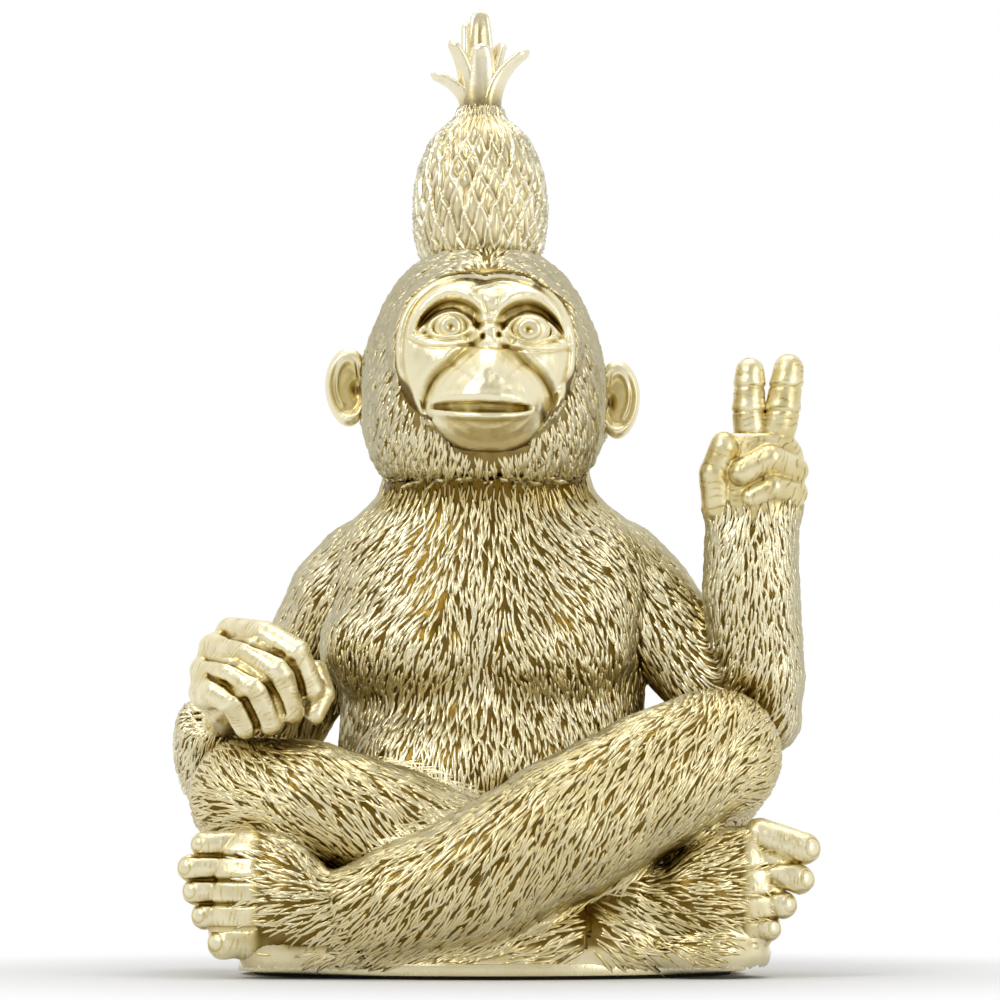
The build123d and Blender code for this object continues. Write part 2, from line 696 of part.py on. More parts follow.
with BuildPart() as head_casting:
    add(fitted(head_form.part, torso_body))
    add(drilled["neck_pin"], mode=Mode.SUBTRACT)
    add(drilled["fruit_pin"], mode=Mode.SUBTRACT)
head_casting.part.label = "head_casting"
export_step(head_casting.part, "parts/head_casting.step")

# Pineapple fruit: a barrel turned about its own upright axis, seated over the top of the head
with BuildPart() as fruit_form:
    with BuildSketch(Plane(origin=fruit_foot, x_dir=(1, 0, 0), z_dir=(0, -1, 0))):
        with BuildLine():
            side = [(r * fruit_diameter / 2, h * fruit_height) for r, h in fruit_profile_shares]
            Spline(side)
            Polyline(side[-1], (0, fruit_height), (0, 0), side[0])
        make_face()
    revolve(axis=Axis(fruit_foot, (0, 0, 1)))

with BuildPart() as pineapple_fruit:
    add(fitted(fruit_form.part, upward_loft(skull_shares)))
    add(drilled["fruit_pin"], mode=Mode.SUBTRACT)
    add(drilled["crown_pin"], mode=Mode.SUBTRACT)
pineapple_fruit.part.label = "pineapple_fruit"
export_step(pineapple_fruit.part, "parts/pineapple_fruit.step")

# Pineapple crown: a stub with leaves that stand up and curl out
with BuildPart() as crown_form:
    with Locations(fruit_top):
        Cylinder(
            stub_radius_share * crown_height,
            stub_height_share * crown_height,
            align=(Align.CENTER, Align.CENTER, Align.MIN),
        )
    for compass, reach, rise in leaf_shares.values():
        for leaf_piece in leaf(compass, reach, rise):
            add(leaf_piece)

with BuildPart() as pineapple_crown:
    add(fitted(crown_form.part, fruit_form.part))
    add(drilled["crown_pin"], mode=Mode.SUBTRACT)
pineapple_crown.part.label = "pineapple_crown"
export_step(pineapple_crown.part, "parts/pineapple_crown.step")
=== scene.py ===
"""Looks of the seated monkey figurine: a resin casting in pale gold lacquer, with carved fur.

Shapes are worked out in millimetres, in the frame of the CAD model, and turned into metres when a piece is
finished. +Z is up, the face looks towards -Y, and +X is to the right of someone who faces the figurine. The
raised arm and the rear foot are on the +X side, the resting arm and the front foot on the -X side.
"""

from math import atan2, cos, pi, radians, sin

import bmesh
import bpy
import numpy as np
from mathutils import Matrix, Vector
from mathutils.bvhtree import BVHTree
from mathutils.kdtree import KDTree


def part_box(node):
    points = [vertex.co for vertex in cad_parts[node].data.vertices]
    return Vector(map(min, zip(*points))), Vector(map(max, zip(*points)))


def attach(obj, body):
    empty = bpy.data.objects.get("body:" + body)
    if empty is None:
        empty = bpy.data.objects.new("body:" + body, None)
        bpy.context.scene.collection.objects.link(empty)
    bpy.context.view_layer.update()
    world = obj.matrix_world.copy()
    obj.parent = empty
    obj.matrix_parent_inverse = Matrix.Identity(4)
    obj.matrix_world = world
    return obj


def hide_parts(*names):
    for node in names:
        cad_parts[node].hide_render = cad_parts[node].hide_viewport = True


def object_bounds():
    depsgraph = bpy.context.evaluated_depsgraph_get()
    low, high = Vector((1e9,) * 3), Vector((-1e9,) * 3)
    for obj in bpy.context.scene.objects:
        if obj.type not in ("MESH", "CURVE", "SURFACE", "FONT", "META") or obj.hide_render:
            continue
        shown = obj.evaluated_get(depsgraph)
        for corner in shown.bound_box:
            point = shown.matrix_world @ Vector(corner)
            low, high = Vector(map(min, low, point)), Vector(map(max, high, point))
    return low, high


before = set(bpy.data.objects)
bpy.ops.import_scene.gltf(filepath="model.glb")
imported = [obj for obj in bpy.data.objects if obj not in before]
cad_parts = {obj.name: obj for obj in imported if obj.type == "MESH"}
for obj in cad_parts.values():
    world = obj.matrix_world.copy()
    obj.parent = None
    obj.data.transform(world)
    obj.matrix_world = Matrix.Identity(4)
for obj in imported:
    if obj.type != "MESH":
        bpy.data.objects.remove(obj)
cad_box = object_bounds()
scene = bpy.context.scene
chance = np.random.default_rng(17)

# ---------------------------------------------------------------- camera


VIEWER_PLACE, VIEWER_AIM = (0.001, -1.2, 0.040), (0.001, 0, 0.1214)


def set_camera():
    lens = bpy.data.cameras.new("viewer")
    lens.lens = 168
    lens.sensor_width = 36
    lens.clip_end = 20
    camera = bpy.data.objects.new("viewer", lens)
    scene.collection.objects.link(camera)
    camera.location = VIEWER_PLACE
    aim = Vector(VIEWER_AIM) - camera.location
    camera.rotation_euler = aim.to_track_quat("-Z", "Y").to_euler()
    scene.camera = camera


set_camera()

# ---------------------------------------------------------------- working with skins


def smooth_step(values, low, high):
    """0 below low, 1 above high, with a soft change between."""
    t = np.clip((values - low) / (high - low), 0, 1)
    return t * t * (3 - 2 * t)


def hump(values, middle, width):
    """A soft ridge of height 1 round the middle."""
    return np.exp(-(((values - middle) / width) ** 2))


def dome(one, one_width, two, two_width):
    """A soft knob of height 1 where both values are 0."""
    return np.exp(-((one / one_width) ** 2) - (two / two_width) ** 2)


def unit(vectors):
    return vectors / np.maximum(np.linalg.norm(vectors, axis=-1, keepdims=True), 1e-9)


def across(vectors, normals):
    """What is left of the vectors along the skin."""
    return unit(vectors - normals * np.sum(vectors * normals, axis=1, keepdims=True))


def in_mm(corners):
    """The two corners of a box, from metres."""
    return [np.array(corner) * 1000 for corner in corners]


def rows(items, name, per_item, kind=float):
    """A row of numbers for each item of a mesh."""
    flat = np.zeros(len(items) * per_item, kind)
    items.foreach_get(name, flat)
    return flat.reshape(-1, per_item)


def mesh_of(form, name):
    """The form as a mesh; the form itself is used up."""
    mesh = bpy.data.meshes.new(name)
    form.to_mesh(mesh)
    form.free()
    return mesh


def places_of(form):
    return np.array([vert.co[:] for vert in form.verts])


def place_points(form, places):
    """Moves the form's points to these places, in their order."""
    for vert, place in zip(form.verts, places.tolist()):
        vert.co = place


def standing_edges(form):
    """The edges of a cone of height 1 that run from its foot to its top."""
    return [edge for edge in form.edges if abs(edge.verts[0].co.z - edge.verts[1].co.z) > 0.5]


def modified(mesh, kind, **settings):
    """What a modifier of this kind makes of the mesh, which is used up."""
    body = bpy.data.objects.new(mesh.name, mesh)
    scene.collection.objects.link(body)
    change = body.modifiers.new("change", kind)
    for name, value in settings.items():
        setattr(change, name, value)
    bpy.context.view_layer.update()
    result = bpy.data.meshes.new_from_object(body.evaluated_get(bpy.context.evaluated_depsgraph_get()))
    bpy.data.objects.remove(body)
    bpy.data.meshes.remove(mesh)
    return result


def cast_form(*nodes):
    """The castings' meshes together in millimetres, with their loose triangles merged."""
    form = bmesh.new()
    for node in nodes:
        form.from_mesh(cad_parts[node].data)
    bmesh.ops.scale(form, vec=(1000, 1000, 1000), verts=form.verts)
    bmesh.ops.remove_doubles(form, verts=form.verts, dist=0.001)
    return form


class Skin:
    """A mesh in millimetres whose points can be read and moved all at once."""

    def __init__(self, mesh):
        self.mesh = mesh
        self.read()

    def read(self):
        self.points = rows(self.mesh.vertices, "co", 3)
        self.edges = rows(self.mesh.edges, "vertices", 2, np.int32)

    def settle(self):
        """Writes the moved points into the mesh and reads its normals again."""
        self.mesh.vertices.foreach_set("co", self.points.ravel())
        self.mesh.update()
        self.normals = rows(self.mesh.vertex_normals, "vector", 3, np.float32).astype(float)
        return self

    def push(self, amounts, ways=None):
        """Moves each point by its amount along its normal, or along the way that is given."""
        self.points = self.points + (self.normals if ways is None else ways) * amounts[:, None]
        return self

    def relax(self, rounds, share=0.5, hold=None):
        """Draws each point towards the middle of its neighbours; hold keeps points where they are."""
        count = len(self.points)
        one, two = self.edges.T
        met = np.bincount(one, minlength=count) + np.bincount(two, minlength=count)
        for _ in range(rounds):
            total = np.empty_like(self.points)
            for axis in range(3):
                values = self.points[:, axis]
                total[:, axis] = np.bincount(one, values[two], count) + np.bincount(two, values[one], count)
            pull = (total / met[:, None] - self.points) * share
            self.points = self.points + (pull if hold is None else pull * (1 - hold)[:, None])
        return self

    def keep_outside(self):
        """Drops every shell but the largest, so that the inside of a hollow casting goes."""
        label = np.arange(len(self.points))
        one, two = self.edges.T
        while True:
            low = np.minimum(label[one], label[two])
            high = np.maximum(label[one], label[two])
            apart = low != high
            if not apart.any():
                break
            np.minimum.at(label, high[apart], low[apart])
            while (label[label] != label).any():
                label = label[label]
        largest = np.bincount(label).argmax()
        form = bmesh.new()
        form.from_mesh(self.mesh)
        spare = [vert for vert, mark in zip(form.verts, label) if mark != largest]
        bmesh.ops.delete(form, geom=spare, context="VERTS")
        form.to_mesh(self.mesh)
        form.free()
        self.read()
        return self

    def faces(self):
        """The corners of each four-sided face."""
        return rows(self.mesh.loops, "vertex_index", 1, np.int32).reshape(-1, 4)

    def squares(self):
        """The middle of each face and the way it looks."""
        corner = self.faces()
        return self.points[corner].mean(1), unit(self.normals[corner].mean(1))

    def tree(self):
        return BVHTree.FromPolygons(self.points.tolist(), self.faces().tolist())


def evened(form, pitch):
    """The form as one skin of small even squares; overlapping forms grow together."""
    return Skin(modified(mesh_of(form, "form"), "REMESH", mode="VOXEL", voxel_size=pitch))


RAY_START = 0.9  # how far off the skin a ray starts, so that it doesn't meet its own face


def openness(points, normals, tree, reach=26.0, rays=14):
    """How much of the sky each point sees: 0 deep in a fold, 1 under free sky; it is painted into the colour as
    shade in the folds.
    """
    turns = np.arange(rays) * pi * (3 - 5**0.5)
    lift = (np.arange(rays) + 0.5) / rays
    spread = np.sqrt(1 - lift * lift)
    local = np.stack([np.cos(turns) * spread, np.sin(turns) * spread, lift], 1)
    side = np.where(np.abs(normals[:, 2:3]) < 0.9, [[0.0, 0.0, 1.0]], [[1.0, 0.0, 0.0]])
    first = unit(np.cross(side, normals))
    second = np.cross(normals, first)
    seen = np.zeros(len(points))
    starts = points + normals * RAY_START
    for x, y, z in local:
        aims = first * x + second * y + normals * z
        for i, (start, aim) in enumerate(zip(starts.tolist(), aims.tolist())):
            found = tree.ray_cast(start, aim, reach)
            seen[i] += z * (1.0 if found[0] is None else 0.9 * found[3] / reach)
    return seen / local[:, 2].sum()


def open_share(skin, tree):
    return openness(skin.points, skin.normals, tree)


# ---------------------------------------------------------------- finished pieces


def finish_piece(form, name, node, material):
    """Turns a form or mesh in millimetres into a finished piece in metres that stands for its CAD node."""
    mesh = mesh_of(form, name) if isinstance(form, bmesh.types.BMesh) else form
    mesh.name = name
    mesh.transform(Matrix.Scale(0.001, 4))
    mesh.polygons.foreach_set("use_smooth", [True] * len(mesh.polygons))
    mesh.materials.clear()
    mesh.materials.append(material)
    piece = bpy.data.objects.new(name, mesh)
    scene.collection.objects.link(piece)
    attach(piece, "root")
    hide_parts(node)
    return piece


def stamp(mesh, **values):
    """Writes a number for each point of the mesh under each name."""
    for name, numbers in values.items():
        layer = mesh.attributes.get(name) or mesh.attributes.new(name, "FLOAT", "POINT")
        layer.data.foreach_set("value", np.asarray(numbers, np.float32))


# ---------------------------------------------------------------- materials


BUMP_DEPTH = 0.0002  # in metres


class Wiring:
    """Puts nodes into a tree. An input takes a plain value or another node's output."""

    def __init__(self, tree):
        self.tree = tree

    def feed(self, node, inputs):
        for name, value in inputs.items():
            if isinstance(value, bpy.types.NodeSocket):
                self.tree.links.new(value, node.inputs[name])
            else:
                node.inputs[name].default_value = value

    def node(self, kind, inputs=None, **settings):
        node = self.tree.nodes.new(kind)
        for name, value in settings.items():
            setattr(node, name, value)
        self.feed(node, inputs or {})
        return node

    def math(self, operation, *values):
        return self.node("ShaderNodeMath", dict(enumerate(values)), operation=operation).outputs["Value"]

    def remap(self, value, low, high, to_low=0.0, to_high=1.0):
        """Carries the span from low to high over to another, with soft ends."""
        inputs = {"Value": value, "From Min": low, "From Max": high, "To Min": to_low, "To Max": to_high}
        return self.node("ShaderNodeMapRange", inputs, interpolation_type="SMOOTHSTEP").outputs["Result"]

    def noise(self, place, size, detail):
        inputs = {"Vector": place, "Scale": size, "Detail": detail}
        return self.node("ShaderNodeTexNoise", inputs).outputs["Fac"]

    def mix(self, share, one, two):
        """A colour between two."""
        node = self.node("ShaderNodeMix", data_type="RGBA")
        self.feed(node, {"Factor": share, "A": one, "B": two})
        return node.outputs["Result"]

    def bump(self, height, strength):
        inputs = {"Strength": strength, "Distance": BUMP_DEPTH, "Height": height}
        return self.node("ShaderNodeBump", inputs).outputs["Normal"]


# What the lacquer takes: its colour in the cuts, a bronze painted shade, on the body, and on the ridges, a light
# painted highlight; how high a point stands in the carving and its painted light, which set how much of each it
# gets; and how its leaf is laid
LACQUER_INPUTS = (
    ("Deep", "NodeSocketColor", (0.15, 0.088, 0.010, 1)),
    ("Body", "NodeSocketColor", (0.63, 0.51, 0.215, 1)),
    ("Pale", "NodeSocketColor", (0.89, 0.82, 0.57, 1)),
    ("Ridge", "NodeSocketFloat", 1.0),
    ("Painted_Light", "NodeSocketFloat", 1.0),
    ("Mottle Size", "NodeSocketFloat", 260.0),
    ("Grain Size", "NodeSocketFloat", 1500.0),
    ("Gloss", "NodeSocketFloat", 0.30),
)
LACQUER_OUTPUTS = (("Color", "NodeSocketColor"), ("Roughness", "NodeSocketFloat"), ("Height", "NodeSocketFloat"))


def leaf_gold_group():
    """Gold with a bronze painted shade in its cuts and folds and a light painted highlight on its ridges, with
    cloudy leaf and fine brush marks.
    """
    group = bpy.data.node_groups.new("leaf_gold", "ShaderNodeTree")
    for name, kind, value in LACQUER_INPUTS:
        group.interface.new_socket(name=name, in_out="INPUT", socket_type=kind).default_value = value
    for name, kind in LACQUER_OUTPUTS:
        group.interface.new_socket(name=name, in_out="OUTPUT", socket_type=kind)
    wiring = Wiring(group)
    given = wiring.node("NodeGroupInput").outputs
    place = wiring.node("ShaderNodeTexCoord").outputs["Object"]
    drawn_out = wiring.node("ShaderNodeMapping", {"Vector": place, "Scale": (1.0, 1.0, 0.16)}).outputs["Vector"]
    mottle = wiring.noise(place, given["Mottle Size"], 3.0)
    grain = wiring.noise(place, given["Grain Size"], 2.0)
    brush = wiring.noise(drawn_out, 900.0, 2.0)

    def swing(noise, share):
        """The noise as a change up and down."""
        return wiring.math("MULTIPLY", wiring.math("SUBTRACT", noise, 0.5), share)

    def total(first, *others):
        for other in others:
            first = wiring.math("ADD", first, other)
        return first

    # Painted shade and highlight: the carving's tone, darker where the painted light is low, with the leaf's cloudy
    # mottle; low values take the bronze painted shade, high ones the light painted highlight
    ridge = wiring.math("MULTIPLY", given["Ridge"], wiring.remap(given["Painted_Light"], 0.22, 0.92, 0.16, 1.0))
    relief_shade_and_mottle = total(ridge, swing(mottle, 0.30))
    cut_to_body = wiring.mix(wiring.remap(relief_shade_and_mottle, 0.02, 0.50), given["Deep"], given["Body"])
    color = wiring.mix(wiring.remap(relief_shade_and_mottle, 0.38, 0.95), cut_to_body, given["Pale"])
    rough = total(given["Gloss"], swing(brush, 0.28), swing(mottle, 0.16))
    shares = ((grain, 0.45), (brush, 0.35), (mottle, 0.60))
    height = total(*[wiring.math("MULTIPLY", noise, share) for noise, share in shares])
    wiring.node("NodeGroupOutput", {"Color": color, "Roughness": rough, "Height": height})
    return group


def new_material(name):
    material = bpy.data.materials.new(name)
    material.use_nodes = True
    return material, Wiring(material.node_tree), material.node_tree.nodes["Principled BSDF"]


def gold_material(name, group, bump, **values):
    """Gold lacquer whose painted shade and highlight follow how high a point stands in the carving and its painted
    light.
    """
    material, wiring, shader = new_material(name)
    inputs = {key.replace("_", " "): value for key, value in values.items()}
    for socket, attribute in (("Ridge", "ridge"), ("Painted_Light", "open")):
        inputs[socket] = wiring.node("ShaderNodeAttribute", attribute_name=attribute).outputs["Fac"]
    lacquer = wiring.node("ShaderNodeGroup", inputs, node_tree=group).outputs
    normal = wiring.bump(lacquer["Height"], bump)
    wiring.feed(
        shader,
        {"Metallic": 1.0, "Base Color": lacquer["Color"], "Roughness": lacquer["Roughness"], "Normal": normal},
    )
    return material


leaf_gold = leaf_gold_group()
fur_gold = gold_material("fur_gold", leaf_gold, 0.40, Gloss=0.33)
skin_gold = gold_material("skin_gold", leaf_gold, 0.50, Gloss=0.36, Mottle_Size=170.0)
fruit_gold = gold_material(
    "fruit_gold", leaf_gold, 0.40,
    Gloss=0.33, Mottle_Size=330.0, Body=(0.72, 0.62, 0.35, 1), Pale=(0.92, 0.87, 0.67, 1),
)
plate_gold = gold_material("plate_gold", leaf_gold, 0.20, Gloss=0.24, Mottle_Size=120.0)

# ---------------------------------------------------------------- body skin

FURRED = ("torso_shell", "raised_arm", "resting_arm", "rear_leg", "front_leg", "rear_foot", "front_foot")
BARE = ("head_casting", "peace_hand", "resting_fist", "base_plate", "pour_hole_bung")
HEAD = np.array([-3.2, -2.0, 157.1])
TRUNK_X = -5.0  # the trunk's middle

# The breasts' middles as X, and the height of the line under them
BREASTS, UNDER_BREAST = (-24.0, 15.0), 71.0
# Soft swellings and hollows of the body: middle, half sizes, height and, where it isn't the normal, direction
SWELLINGS = (
    ((-34, 0, 112), (16, 18, 9), 2.4),  # the shoulders
    ((30, 0, 112), (16, 18, 9), 2.4),
    ((-5, 44, 92), (7, 14, 26), -2.0),  # the furrow of the spine
    ((80, -4, 78), (8, 16, 22), 2.4, (-1, 0, 0)),  # the raised forearm's outer side, drawn in
    ((-24, 42, 100), (13, 12, 16), 2.2),  # the shoulder blades
    ((15, 42, 100), (13, 12, 16), 2.2),
)


def swell(skin, centre, radii, height, towards=None):
    """A soft swelling or, with a negative height, a hollow; radii may differ along X, Y and Z."""
    away = (skin.points - np.array(centre)) / np.array(radii)
    weight = np.exp(-np.sum(away * away, axis=1))
    skin.push(weight * height, None if towards is None else np.array(towards))


def shape_body(skin):
    """The muscles and folds that the plain castings lack."""
    skin.settle()
    front = smooth_step(-skin.normals[:, 1], 0.0, 0.7)
    x, z = skin.points[:, 0], skin.points[:, 2]
    chest = np.zeros(len(x))
    for middle in BREASTS:
        sag = UNDER_BREAST + 0.012 * (x - middle) ** 2
        wide = hump(x, middle, 17.0)
        chest += wide * smooth_step(z, sag - 2.2, sag + 5.0) * (1 - smooth_step(z, 84.0, 108.0)) * 2.6
        chest -= wide * hump(z, sag - 4.0, 3.4) * 1.6
    chest -= hump(x, TRUNK_X, 4.0) * hump(z, 82.0, 14.0) * 1.4
    belly = hump(x, TRUNK_X, 25.0) * hump(z, 49.0, 15.0) * 1.6
    skin.points[:, 1] -= (chest + belly) * front
    for swelling in SWELLINGS:
        swell(skin, *swelling)
    skin.settle()


PLATE_MIDDLE, PLATE_HALF = (-0.96, -2.0), (64.8, 52.0)
# The footing that closes the gap between the shins and the plate: its middle and its height
FOOTING_MIDDLE, FOOTING_HEIGHT = 6.5, 8.0
# Mounds that fill the hollows under the shins and feet: middle and half sizes
MOUNDS = (
    ((18, -20, 8), (38, 31, 15)),
    ((52, -28, 6), (17, 21, 9)),
    ((-32, -30, 6), (32, 21, 10)),
    ((-51, -36, 6), (13, 12, 9)),
)


def body_skin():
    """One skin over the whole figure, so that the fur runs on over the glued seams and down to the plate."""
    form = cast_form(*FURRED, *BARE)
    cone = bmesh.ops.create_cone(form, cap_ends=True, segments=160, radius1=0.998, radius2=0.91, depth=1)
    footing = cone["verts"]
    bmesh.ops.scale(form, vec=(*PLATE_HALF, FOOTING_HEIGHT), verts=footing)
    bmesh.ops.translate(form, vec=(*PLATE_MIDDLE, FOOTING_MIDDLE), verts=footing)
    for middle, half in MOUNDS:
        mound = bmesh.ops.create_uvsphere(form, u_segments=48, v_segments=32, radius=1)["verts"]
        bmesh.ops.scale(form, vec=half, verts=mound)
        bmesh.ops.translate(form, vec=middle, verts=mound)
    skin = evened(form, 1.0).keep_outside()
    skin.relax(7)
    shape_body(skin)
    skin.relax(2)
    return skin.settle()


CASTING_REACH = 12.0  # how far off a casting its skin may lie


def nearest_casting(skin, nodes):
    """For each point of the skin, the number of the casting that it belongs to."""
    best = np.full(len(skin.points), CASTING_REACH)
    label = np.zeros(len(skin.points), int)
    for number, node in enumerate(nodes):
        form = cast_form(node)
        tree = BVHTree.FromBMesh(form)
        form.free()
        low, high = in_mm(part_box(node))
        inside = (skin.points > low - CASTING_REACH) & (skin.points < high + CASTING_REACH)
        for i in np.nonzero(np.all(inside, axis=1))[0]:
            found = tree.find_nearest(skin.points[i])
            if found[3] < best[i]:
                best[i] = found[3]
                label[i] = number
    return label


def open_edges(form):
    return [edge for edge in form.edges if edge.is_boundary]


def skin_patch(skin, wanted, name, node, material):
    """The part of a skin that belongs to one casting, closed where it is glued to the next."""
    form = bmesh.new()
    form.from_mesh(skin.mesh)
    spare = [face for face, keep in zip(form.faces, wanted) if not keep]
    bmesh.ops.delete(form, geom=spare, context="FACES")
    caps = bmesh.ops.holes_fill(form, edges=open_edges(form), sides=0)["faces"]
    bmesh.ops.triangulate(form, faces=caps)
    return finish_piece(form, name, node, material)


# ---------------------------------------------------------------- fur

# Centre lines of the limbs, from the trunk outwards: X, Y and Z in millimetres. Then, for each run between two
# of these, where the parting of the fur lies and how far the fur leans from it.
LIMBS = {
    "raised_arm": (
        ((30, 11, 100), (38, 10, 95), (46, 6, 85), (55, 2, 75), (66, -3, 67), (69, -6, 76), (66, -9, 92),
         (65, -10, 118)),
        ((0.2, -1, 0.6),) * 4 + ((0.25, -1, 0),) * 3,
        (0.5, 0.5, 0.5, 0.4, -0.2, -0.7, -0.25),
    ),
    "resting_arm": (
        ((-33, 11, 100), (-40, 11, 95), (-46, 14, 86), (-51, 19, 74), (-59, 25, 60), (-67, 26, 50),
         (-72, 13, 51), (-74, 1, 57), (-73, -8, 65)),
        ((-0.5, -1, 0.3),) * 5 + ((-0.6, 0, 1),) * 3,
        (0.4, 0.3, 0.2, 0.2, 0.2, 0.3, 0.3, 0.2),
    ),
    "rear_leg": (
        ((-21, 20, 25), (-38, 8, 30), (-52, -7, 38), (-63, -20, 45), (-46, -27, 43), (-24, -28, 36),
         (2, -27, 27), (24, -29, 21), (40, -34, 18), (58, -37, 22), (76, -39, 24)),
        ((0, 0.3, 1),) * 4
        + ((0, -0.3, 1), (0, -0.4, 1), (0, -0.6, 1), (0, -1, 0.7), (0, -1, 0.5), (0, -1, 0.3)),
        (0.4, 0.4, 0.4, 0.5, 0.55, 0.6, 0.7, 0.8, 0.7, 0.5),
    ),
    "front_leg": (
        ((21, 20, 25), (36, 6, 34), (48, -9, 46), (55, -23, 55), (38, -36, 48), (16, -43, 36), (-5, -45, 24),
         (-24, -46, 19), (-40, -45, 15), (-56, -42, 20), (-74, -42, 22)),
        ((0, 0.3, 1),) * 3 + ((0, -0.35, 1),) * 4 + ((0, -0.6, 1), (0, -1, 0.6), (0, -1, 0.3)),
        (0.4, 0.4, 0.5, 0.75, 0.85, 0.85, 0.8, 0.8, 0.7, 0.5),
    ),
}
FOLLOWS = {"rear_foot": "rear_leg", "front_foot": "front_leg"}

# How the fur lies on the front of the trunk: X, Z, then its direction along X and Z
FRONT_LIE = np.array([
    (-4, 120, 0, -1), (-16, 120, -0.2, -1), (9, 120, 0.2, -1), (-24, 124, -0.4, -1), (19, 124, 0.4, -1),
    (-5, 107, 0, -1), (-13, 109, -0.3, -1), (5, 109, 0.3, -1), (-24, 111, -0.8, -0.8), (16, 111, 0.8, -0.8),
    (-36, 108, -1, -0.5), (28, 108, 1, -0.5), (-47, 100, -0.7, -1), (39, 100, 0.7, -1),
    (-28, 94, -0.9, -0.8), (20, 94, 0.9, -0.8), (-18, 92, -0.7, -1), (9, 92, 0.7, -1), (-13, 82, -0.5, -1),
    (5, 82, 0.5, -1), (-25, 80, -0.6, -1), (17, 80, 0.6, -1), (-37, 82, -0.3, -1), (29, 82, 0.3, -1),
    (-10, 92, 0.2, -1), (0, 92, -0.2, -1), (-8, 80, 0.45, -1), (-2, 80, -0.45, -1), (-5, 86, 0, -1),
    (-5, 64, 0, -1), (-25, 62, -0.25, -1), (16, 62, 0.25, -1), (-40, 62, 0, -1), (32, 62, 0, -1),
    (-5, 48, 0, -1), (-22, 46, 0.3, -1), (13, 48, -0.3, -1), (-14, 38, 0.5, -1), (6, 38, -0.5, -1),
], float)


def trunk_lie(points, normals):
    """The fur's direction on the trunk: out and down over the chest, down the belly and the back."""
    flat = points[:, [0, 2]]
    gap = ((flat[:, None, :] - FRONT_LIE[None, :, :2]) ** 2).sum(-1)
    weight = 1 / (gap + 9.0) ** 1.6
    lie = unit(FRONT_LIE[:, 2:])
    front = (weight[:, :, None] * lie[None]).sum(1) / weight.sum(1)[:, None]
    ahead = np.stack([front[:, 0], np.zeros(len(points)), front[:, 1]], 1)
    out = np.clip((points[:, 0] - TRUNK_X) / 30.0, -1, 1) * 0.4
    behind = np.stack([out, 0.15 * np.ones(len(points)), -np.ones(len(points))], 1)
    share = smooth_step(normals[:, 1], -0.35, 0.35)[:, None]
    return across(ahead * (1 - share) + behind * share, normals)


def limb_lie(points, normals, name):
    """The fur's direction on a limb: along it, leaning away from its parting line."""
    line, partings, leans = LIMBS[name]
    line = np.array(line, float)
    starts, runs = line[:-1], np.diff(line, axis=0)
    share = ((points[:, None] - starts) * runs).sum(-1) / (runs * runs).sum(-1)
    foot = starts + runs * np.clip(share, 0, 1)[..., None]
    away = np.linalg.norm(points[:, None] - foot, axis=-1)
    weight = 1 / (away + 2.0) ** 6
    weight = (weight / weight.sum(1, keepdims=True))[..., None]
    along = unit((weight * unit(runs)).sum(1))
    middle = (weight * foot).sum(1)
    parting = (weight * unit(np.array(partings, float))).sum(1)
    lean = (weight[..., 0] * np.array(leans)).sum(1)
    out = across(points - middle, along)
    around = np.cross(along, out)
    aside = np.sum(around * unit(parting), axis=1)
    return across(along - around * (aside * lean)[:, None], normals)


FACE_MIDDLE = np.array([-2.7, -20.0, 157.5])


def head_lie(points, normals):
    """The fur's direction on the head: away from the face, then back and down."""
    ray = points - FACE_MIDDLE
    ray[:, 1] = 0
    ray = unit(ray)
    down = np.array([0, 0, -1.0])
    back = np.array([0, 1.0, 0])
    crown = smooth_step(points[:, 2], HEAD[2] + 10, HEAD[2] + 24)[:, None]
    parted = points[:, :1] + 1.5
    part = np.clip(parted / 7.0, -1, 1) * np.array([1.0, 0, 0])
    centre = crown * hump(parted, 0.0, 10.0)
    lie = ray * 0.6 + down * 0.7 * (1 - centre) + back * 0.35 + part * crown * 0.9
    behind = smooth_step(points[:, 1], 0, 22)[:, None]
    return across(lie * (1 - behind) + (down + back * 0.1) * behind, normals)


def lie_of(node, points, normals):
    if node == "torso_shell":
        return trunk_lie(points, normals)
    if node == "head_casting":
        return head_lie(points, normals)
    return limb_lie(points, normals, FOLLOWS.get(node, node))


def scattered(points, normals, lies, across_gap, along_gap):
    """Picks points that lie apart like the roots of hairs: close side by side, far apart along the fur."""
    tree = KDTree(len(points))
    for i, point in enumerate(points.tolist()):
        tree.insert(point, i)
    tree.balance()
    order = chance.permutation(len(points))
    taken = np.zeros(len(points), bool)
    picked = []
    sides = np.cross(normals, lies)
    for i in order:
        if taken[i]:
            continue
        picked.append(i)
        near = [found[1] for found in tree.find_range(points[i].tolist(), along_gap)]
        gap = points[near] - points[i]
        wide = gap @ sides[i] / across_gap
        long = gap @ lies[i] / along_gap
        deep = gap @ normals[i] / along_gap
        taken[np.array(near)[wide * wide + long * long + deep * deep < 1]] = True
    return np.array(picked)


LEVELS = 5


def lock_template():
    """One lock of fur: a three-sided blade, closed to a point at both ends."""
    lock = bmesh.new()
    bmesh.ops.create_cone(lock, segments=3, radius1=1, radius2=1, depth=1)
    bmesh.ops.subdivide_edges(lock, edges=standing_edges(lock), cuts=LEVELS - 2)
    for level in (-0.5, 0.5):
        ring = [vert for vert in lock.verts if abs(vert.co.z - level) < 0.01]
        bmesh.ops.pointmerge(lock, verts=ring, merge_co=(0, 0, level))
    bmesh.ops.recalc_face_normals(lock, faces=lock.faces)
    return lock


def many_locks(count):
    """The template laid down count times in one mesh, by an array that doesn't move its copies."""
    mesh = mesh_of(lock_template(), "lock")
    each = len(mesh.vertices)
    return modified(mesh, "ARRAY", use_relative_offset=False, count=count), each


